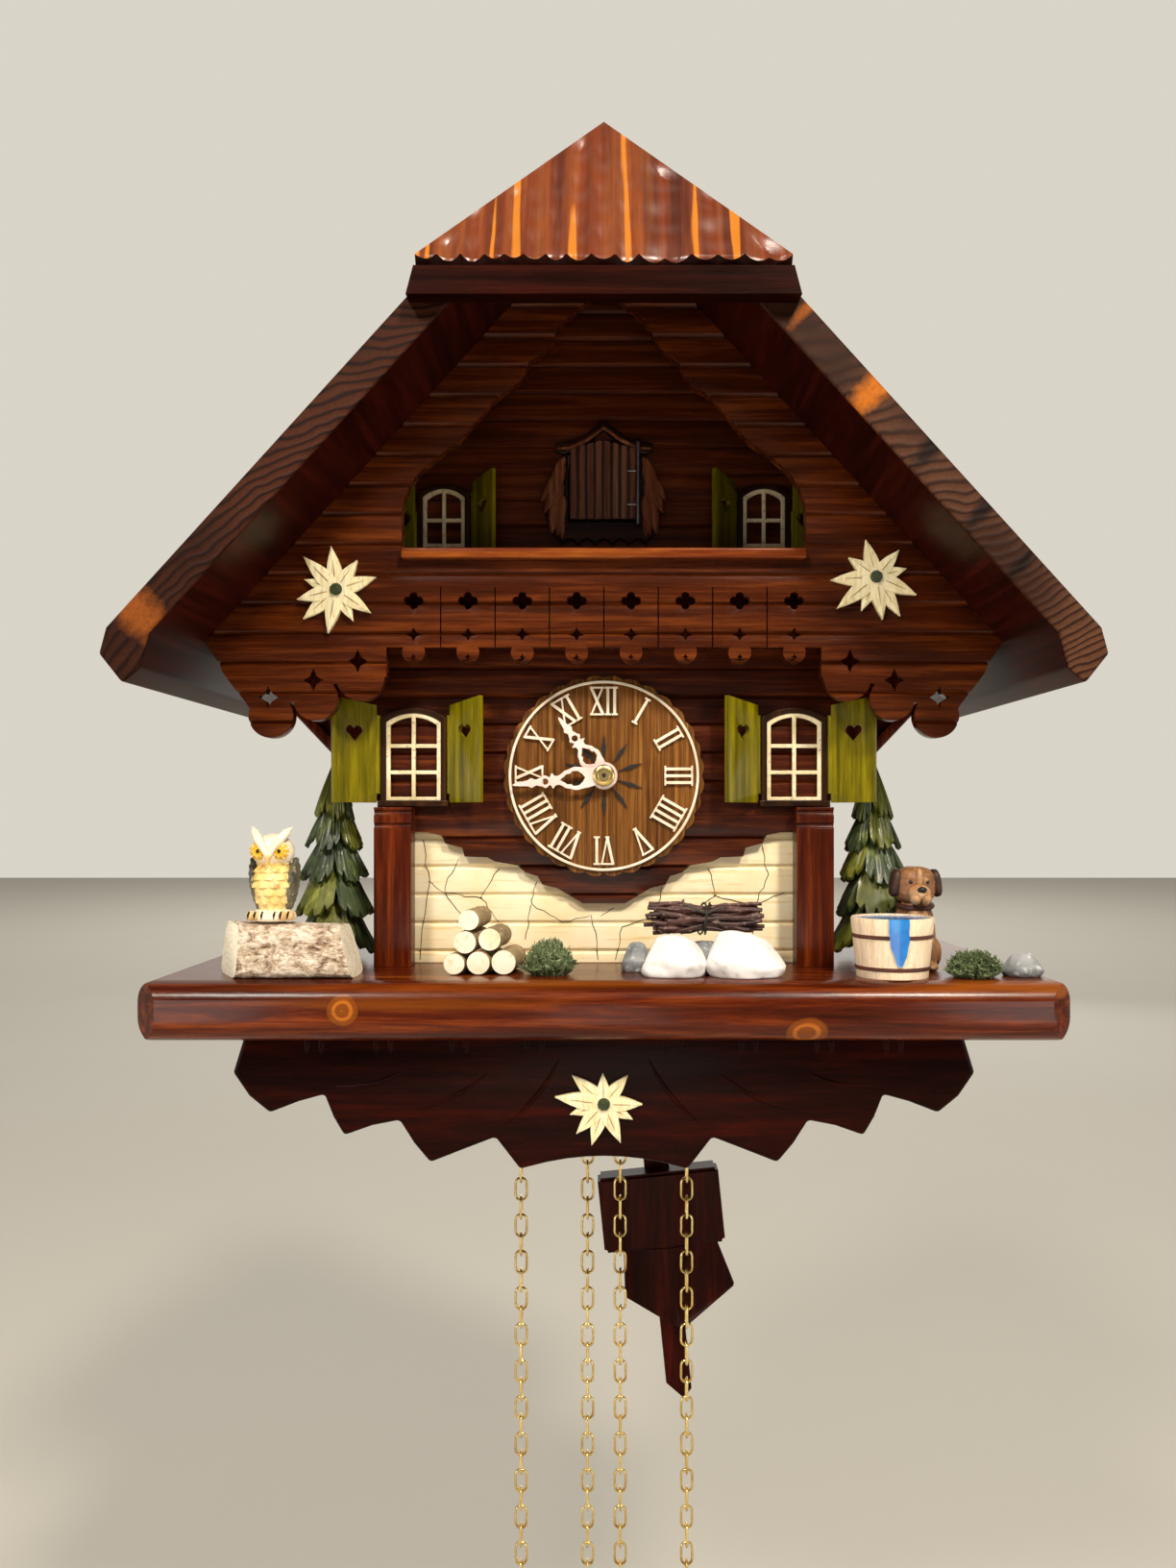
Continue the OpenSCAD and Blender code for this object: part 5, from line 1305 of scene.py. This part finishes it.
def water_tub():
    """Staved tub with two bands, blue water and a painted spill down its front."""
    low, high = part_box("water_tub")
    at = Vector((middle("water_tub").x, middle("water_tub").y, low.z))
    h = high.z - low.z
    r0, r1, staves = 0.0111, 0.0130, 16

    def stave(a, _k):
        return 1 - 0.018 * max(0.0, math.cos(a * staves)) ** 14

    def radius(z):
        return r0 + (r1 - r0) * z / h

    bm = bmesh.new()
    wall = [(radius(z) * 0.995, z) for z in (0, 0.0012, h * 0.35, h * 0.7, h - 0.0006)]
    profile = [(0.002, 0.0002), *wall, (r1 - 0.0004, h), (r1 - 0.0012, h), (r1 - 0.0016, h - 0.0012),
               (0.002, h - 0.0012)]
    add_lathe(bm, profile, at, 96, 0, stave)
    for z in (0.0024, h * 0.66):
        rr = radius(z + 0.0006)
        add_lathe(bm, [(rr, z), (rr + 0.0003, z + 0.0003), (rr + 0.0003, z + 0.0009), (rr, z + 0.0012)], at,
                  96, 1)
    water = [(0.0004, h - 0.0008), (0.006, h - 0.00075), (r1 - 0.0015, h - 0.0005)]
    add_lathe(bm, water, at, 48, 2, lambda a, k: 1 + 0.01 * math.sin(5 * a) * (k == 1))
    rows = []
    for i in range(15):
        z = h + 0.0001 - i * 0.00104
        half = 0.235 if i < 7 else 0.235 * (1 - ((i - 6) / 9.5) ** 1.6)
        mid = -0.085 + 0.008 * math.sin(i * 1.3) + 0.004 * i
        row = []
        for j in range(7):
            a = -math.pi / 2 + mid + half * (j / 3 - 1)
            rr = radius(min(z, h)) + 0.00042
            row.append(bm.verts.new(at + Vector((rr * math.cos(a), rr * math.sin(a), z))))
        rows.append(row)
    backs = [[bm.verts.new(v.co + (at + Vector((0, 0, v.co.z - at.z)) - v.co).normalized() * 0.0006)
              for v in row] for row in rows]
    for grid in (rows, backs):
        for a, b in zip(grid, grid[1:]):
            for j in range(6):
                bm.faces.new((a[j], a[j + 1], b[j + 1], b[j])).material_index = 2
    for j in range(6):
        for i in (0, 14):
            bm.faces.new((rows[i][j], rows[i][j + 1], backs[i][j + 1], backs[i][j])).material_index = 2
    for i in range(14):
        for j in (0, 6):
            bm.faces.new((rows[i][j], rows[i + 1][j], backs[i + 1][j], backs[i][j])).material_index = 2
    piece("tub_staved", bm, ["tub", "band", "water"], stands_for=["water_tub"])


water_tub()


def dog():
    """Sitting dog behind the tub: broad head, dropped ears, pale muzzle, collar, paws."""
    x, y, z0 = middle("dog").x, -0.1045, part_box("dog")[0].z
    bm = bmesh.new()

    def at(right, back, up):
        return Vector((x, y, z0)) + mm(right, back, up)

    def coat(v):
        return v * (1 + 0.018 * noise.noise(v * 7) + 0.012 * math.sin(v.z * 22 + 3 * v.x))

    def square(v):
        return coat(Vector([math.copysign(abs(c) ** 0.75, c) for c in v]))

    add_ball(bm, at(0, 0.8, 7.4), (0.0080, 0.0082, 0.0074), 0, cuts=4, shape=coat)
    add_ball(bm, at(0, -0.6, 15.8), (0.0062, 0.0060, 0.0090), 0, Matrix.Rotation(0.12, 3, "X"), 4, coat)
    add_ball(bm, at(0, -5.2, 14.5), (0.0040, 0.0025, 0.0068), 1, Matrix.Rotation(0.1, 3, "X"), 4, coat)
    add_ball(bm, at(0, -1.4, 27.6), (0.0066, 0.0062, 0.0062), 0, cuts=5, shape=square)
    add_ball(bm, at(0, -7.8, 25.2), (0.0036, 0.0036, 0.0029), 1, cuts=4, shape=coat)
    add_ball(bm, at(0, -7.2, 29.8), (0.0011, 0.0016, 0.0036), 1, cuts=3)
    add_ball(bm, at(0, -11.1, 26.6), (0.0015, 0.0010, 0.0010), 2, cuts=3)
    for s in (-1, 1):
        add_ball(bm, at(s * 6.6, -2.2, 28.4), (0.0017, 0.0034, 0.0046), 4,
                 Matrix.Rotation(-s * 0.16, 3, "Y"), 4, square)
        add_ball(bm, at(s * 2.6, -7, 28.8), (0.0008, 0.0006, 0.0008), 2, cuts=2)
        add_ball(bm, at(s * 1.7, -9.2, 23.6), (0.0018, 0.0022, 0.0019), 1, cuts=3)
        add_tube(bm, [at(s * 3.6, -3.5, 15), at(s * 4, -5.2, 7),
                      at(s * 4, -5.8, 1.6)], [0.0024, 0.0021, 0.0020], 14, 0)
        add_ball(bm, at(s * 4, -7, 1.6), (0.0022, 0.0032, 0.0016), 1, cuts=3)
        add_ball(bm, at(s * 6.2, 1.2, 5.4), (0.0030, 0.0058, 0.0054), 0, cuts=4, shape=coat)
    neck = [Vector((x + 0.0056 * math.cos(t), y - 0.0016 + 0.0054 * math.sin(t),
                    z0 + 0.0212 + 0.0009 * math.sin(t)))
            for t in (2 * math.pi * k / 30 for k in range(30))]
    add_tube(bm, neck, [0.0008] * 30, 8, 3, closed=True)
    add_tube(bm, [at(0, -9.8, 25.4), at(0, -10.4, 23.6), at(0, -9.4, 22.4)],
             [0.0003, 0.0003, 0.0002], 6, 2)
    piece("dog_figure", bm, ["dog", "dog_light", "black", "collar", "dog_dark"], stands_for=["dog"])


dog()

# ---------------------------------------------------------------- chains, weights, movement


def add_link(bm, at, long, wide, along_y):
    """One stadium-shaped link, hanging upright, flat to the front or edge on."""
    n = 7
    points = []
    half = long / 2 - wide / 2
    for end in (1, -1):
        for k in range(n + 1):
            a = math.pi * k / n
            s = math.cos(a) * end
            points.append((s * wide / 2, end * (half + math.sin(a) * wide / 2)))
    path = [Vector(at) + (Vector((0, u, v)) if along_y else Vector((u, 0, v))) for u, v in points]
    add_tube(bm, path, [LINK_WIRE] * len(path), 6, closed=True)


def chain(node, name, body):
    """Real links down one strand, alternately face on and edge on."""
    low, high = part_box(node)
    x, long, wide = middle(node).x, 0.0084, 0.0041
    end = CHAIN_END + 0.0002
    bm = bmesh.new()
    for i in range(int((high.z - end - 0.0005) / CHAIN_PITCH)):
        z = high.z - long / 2 - 0.0001 - i * CHAIN_PITCH
        if z - long / 2 < end - 0.0006:
            break
        add_link(bm, (x, SPROCKET_Y, z), long, wide, i % 2 == 1)
    if "pull" in node:
        add_tube(bm, circle((x, SPROCKET_Y, low.z + 0.0089), 0.0079, 40, (0, 1, 0)), [0.0009] * 40, 10,
                 closed=True)
    piece(name, bm, ["brass"], body, [node], sharp=60)


chain("time_chain", "time_chain_links", "time_drive")
chain("strike_chain", "strike_chain_links", "strike_drive")
chain("time_pull_chain", "time_pull_links", "time_pull")
chain("strike_pull_chain", "strike_pull_links", "strike_pull")


def chain_turns():
    """The links that lie over the two sprockets."""
    bm = bmesh.new()
    for side in (-1, 1):
        steps = int(math.pi * CHAIN_RUN / CHAIN_PITCH)
        for i in range(steps + 1):
            a = math.pi * (i + 0.3) / (steps + 0.6)
            centre = Vector((side * SPROCKET_X + CHAIN_RUN * math.cos(a), SPROCKET_Y,
                             SPROCKET_Z + CHAIN_RUN * math.sin(a)))
            made_from = len(bm.verts)
            add_link(bm, (0, 0, 0), 0.0080, 0.0039, i % 2 == 1)
            bm.verts.ensure_lookup_table()
            turn = Matrix.Rotation(-a, 3, "Y")
            for v in bm.verts[made_from:]:
                v.co = centre + turn @ v.co
    piece("sprocket_links", bm, ["brass"], CASE, ["chain_turns"], sharp=60)


chain_turns()


def pine_cone(node, name, body):
    """Cast pine cone: overlapping pointed scales in spirals, and the hook eye at its top."""
    low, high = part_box(node)
    x, y = middle(node).x, middle(node).y
    top = CHAIN_END - 0.014
    h = top - low.z
    r_max = (high.x - low.x) / 2
    shape = [(0, 0), (0.012, 0.22), (0.09, 0.5), (0.24, 0.75), (0.42, 0.91), (0.58, 1), (0.7, 1),
             (0.85, 0.88), (0.955, 0.62), (1, 0.3)]

    def radius(t):
        for (a, p), (b, q) in zip(shape, shape[1:]):
            if a <= t <= b:
                return r_max * (p + (q - p) * (t - a) / (b - a))
        return r_max * 0.3

    bm = bmesh.new()
    core = [(max(radius(t) - 0.0022, 0.0006), t * h) for t in [i / 24 for i in range(25)]]
    add_lathe(bm, core, (x, y, low.z), 28, 0)
    rows = 19
    for k in range(rows):
        t = 0.05 + 0.90 * k / (rows - 1)
        r = radius(t)
        count = max(5, int(round(2 * math.pi * r / 0.0068)))
        for i in range(count):
            a = 2 * math.pi * (i + 0.5 * (k % 2)) / count + 0.12 * k
            out, across = Vector((math.cos(a), math.sin(a), 0)), Vector((-math.sin(a), math.cos(a), 0))
            w, tall = math.pi * r / count * 1.06, 0.0088 * (0.6 + 0.4 * r / r_max)
            mid = Vector((x, y, low.z + t * h))
            base = [mid + out * (r - 0.0030) + across * (w * s) + Vector((0, 0, tall * 0.55))
                    for s in (-1, 0, 1)]
            belly = [mid + out * (r - 0.0009 - 0.0005 * abs(s)) + across * (w * s * 1.02) for s in (-1, 0, 1)]
            tip = mid + out * (r - 0.0001) - Vector((0, 0, tall * 0.5))
            under = mid + out * (r - 0.0028) - Vector((0, 0, tall * 0.30))
            b = [bm.verts.new(p) for p in base]
            m = [bm.verts.new(p) for p in belly]
            tp, un = bm.verts.new(tip), bm.verts.new(under)
            for j in (0, 1):
                bm.faces.new((b[j], b[j + 1], m[j + 1], m[j]))
                bm.faces.new((m[j], m[j + 1], tp))
            bm.faces.new((m[0], tp, un))
            bm.faces.new((tp, m[2], un))
            bm.faces.new((b[0], m[0], un))
            bm.faces.new((m[2], b[2], un))
            bm.faces.new((b[2], b[1], b[0], un))
    add_tube(bm, [Vector((x, y, top - 0.001)), Vector((x, y, top + 0.004))], [0.0014, 0.0012], 12, 1)
    add_tube(bm, circle((x, y, CHAIN_END - 0.0054), 0.0042, 32), [0.00095] * 32, 10, 1, closed=True)
    piece(name, bm, ["iron", "brass"], body, [node], sharp=35)


for train in ("time", "strike"):
    pine_cone(f"{train}_weight", f"{train}_pine_cone", f"{train}_drive")


def small_bird():
    """Carved cuckoo on its wire arm: breast, head, beak, folded wings and a long tail."""
    bm = bmesh.new()
    turn = Matrix.Rotation(BIRD_TURN, 3, "Z")
    perch = mm(-0.5, -42.2, -39.5)

    def at(px, py, pz):
        return perch + turn @ mm(px, py, pz)

    lean = turn @ Matrix.Rotation(math.radians(-14), 3, "X")
    add_ball(bm, at(0, 0.2, 7), (0.0036, 0.0050, 0.0038), 0, lean, 4)
    add_ball(bm, at(0, -3.4, 10.6), (0.0028, 0.0029, 0.0028), 0, turn, 4)
    add_ball(bm, at(0, -2.2, 6.4), (0.0026, 0.0030, 0.0030), 1, lean, 4)
    add_tube(bm, [at(0, -5.6, 10.6), at(0, -7.4, 10.4), at(0, -8.7, 9.9)], [0.0010, 0.0007, 0.0001], 8, 2)
    for s in (-1, 1):
        add_ball(bm, at(s * 3.1, 1.2, 7.4), (0.0010, 0.0048, 0.0028), 3, lean, 4)
        add_ball(bm, at(s * 2.3, -4.4, 11.4), (0.0006, 0.0006, 0.0006), 4, turn, 2)
        add_tube(bm, [at(s * 1.0, 3.4, 7.2), at(s * 1.3, 7, 6.4), at(s * 1.5, 10, 5.9)],
                 [0.0013, 0.0012, 0.0008], 8, 3)
    arm = [mm(34.7, -58, -39.5), mm(27.9, -47.3, -39.5), mm(21, -36.5, -39.5), mm(10, -39.4, -39.5), perch,
           at(0, 0, 4)]
    add_tube(bm, arm, [0.0009] * len(arm), 10, 5)
    add_tube(bm, [mm(34.7, -58, -75.5), mm(34.7, -58, -38.1)], [0.00118, 0.00118], 16, 5)
    piece("cuckoo_figure", bm, ["bird", "lattice", "yellow", "owl_dark", "black", "steel"], "bird_arm",
          ["cuckoo_bird"])


small_bird()

BARE_METAL = {
    "brass": ["centre_wheel", "minute_wheel", "time_great_wheel", "third_wheel", "escape_wheel",
              "strike_great_wheel", "pin_wheel"],
    "plate_brass": ["movement_plates", "time_sprocket", "strike_sprocket"],
    "steel": ["fly", "anchor", "gong", "gong_hammer", "hanger_plate"],
}
for metal_name, nodes in BARE_METAL.items():
    for node in nodes:
        mesh = frame["nodes"][node].data
        mesh.materials.clear()
        mesh.materials.append(M[metal_name])

# ---------------------------------------------------------------- stage, light, camera


def stage_floor():
    """Plain pale floor below the lowest place that the weights reach."""
    floor = bpy.data.objects.new("floor", bpy.data.meshes.new("floor"))
    bm = bmesh.new()
    bmesh.ops.create_grid(bm, x_segments=2, y_segments=2, size=9)
    bm.to_mesh(floor.data)
    bm.free()
    floor.location = (0, 0, CAD_BOX[0][2] - 0.075)
    bpy.context.scene.collection.objects.link(floor)
    pale = Shader("pale_floor", rough=0.9)
    pale.colour(pale.mix(pale.noise(pale.mapped((3, 3, 3))), "d3cfc6", "cecac0"))
    floor.data.materials.append(pale.mat)


def studio_world():
    """Soft surroundings, pale behind the clock and darker in front, where they would haze the dark wood."""
    world = bpy.data.worlds.new("studio")
    bpy.context.scene.world = world
    world.use_nodes = True
    sky = world.node_tree
    side = sky.nodes.new("ShaderNodeSeparateXYZ")
    sky.links.new(sky.nodes.new("ShaderNodeTexCoord").outputs["Generated"], side.inputs[0])
    tone = sky.nodes.new("ShaderNodeValToRGB")
    front, back = tone.color_ramp.elements
    front.position, front.color = 0.0, (0.17, 0.16, 0.142, 1)
    back.position, back.color = 0.5, (0.70, 0.66, 0.58, 1)
    sky.links.new(side.outputs["Y"], tone.inputs["Fac"])
    sky.links.new(tone.outputs["Color"], sky.nodes["Background"].inputs["Color"])
    sky.nodes["Background"].inputs["Strength"].default_value = 1.0
    bpy.context.scene.view_settings.view_transform = "Standard"


stage_floor()
studio_world()


def light(name, place, aim, size, power, tint):
    lamp = bpy.data.lights.new(name, "AREA")
    lamp.shape, lamp.size, lamp.energy, lamp.color = "DISK", size, power, tint
    obj = bpy.data.objects.new(name, lamp)
    obj.location = place
    obj.rotation_euler = (Vector(aim) - Vector(place)).to_track_quat("-Z", "Y").to_euler()
    bpy.context.scene.collection.objects.link(obj)


light("key", (0.5, -1.15, 0.95), (0, -0.1, -0.15), 0.22, 22, (1.0, 0.90, 0.76))
light("second", (-0.55, -1.15, 0.85), (0, -0.1, -0.15), 0.28, 13, (1.0, 0.91, 0.80))
for side_x in (-1.7, 1.7):
    light("side_fill", (side_x, -1.0, -0.2), (0, -0.1, -0.2), 0.9, 7, (1.0, 0.95, 0.9))
light("low_fill", (0.0, -1.3, -0.55), (0, -0.1, -0.05), 0.5, 1.6, (1.0, 0.88, 0.76))
light("far_fill", (0.0, 5.0, 2.6), (0, 5.0, -1.0), 4.0, 90, (1.0, 0.96, 0.88))
light("back_fill", (0.4, 2.2, 0.8), (0, 0, -0.15), 3.0, 9, (1.0, 0.97, 0.94))


def view():
    """Level camera in front of the dial: 26 mm equivalent lens, shifted as the view is not centred."""
    lens = bpy.data.cameras.new("camera")
    lens.sensor_fit = "HORIZONTAL"
    lens.sensor_width = 36
    lens.lens = 36.0588
    lens.shift_x, lens.shift_y = -0.01348, 0.02941
    lens.clip_start = 0.01
    camera = bpy.data.objects.new("camera", lens)
    camera.location = mm(0, -492, -150.6)
    camera.rotation_euler = (math.pi / 2, 0, 0)
    bpy.context.scene.collection.objects.link(camera)
    bpy.context.scene.camera = camera


view()
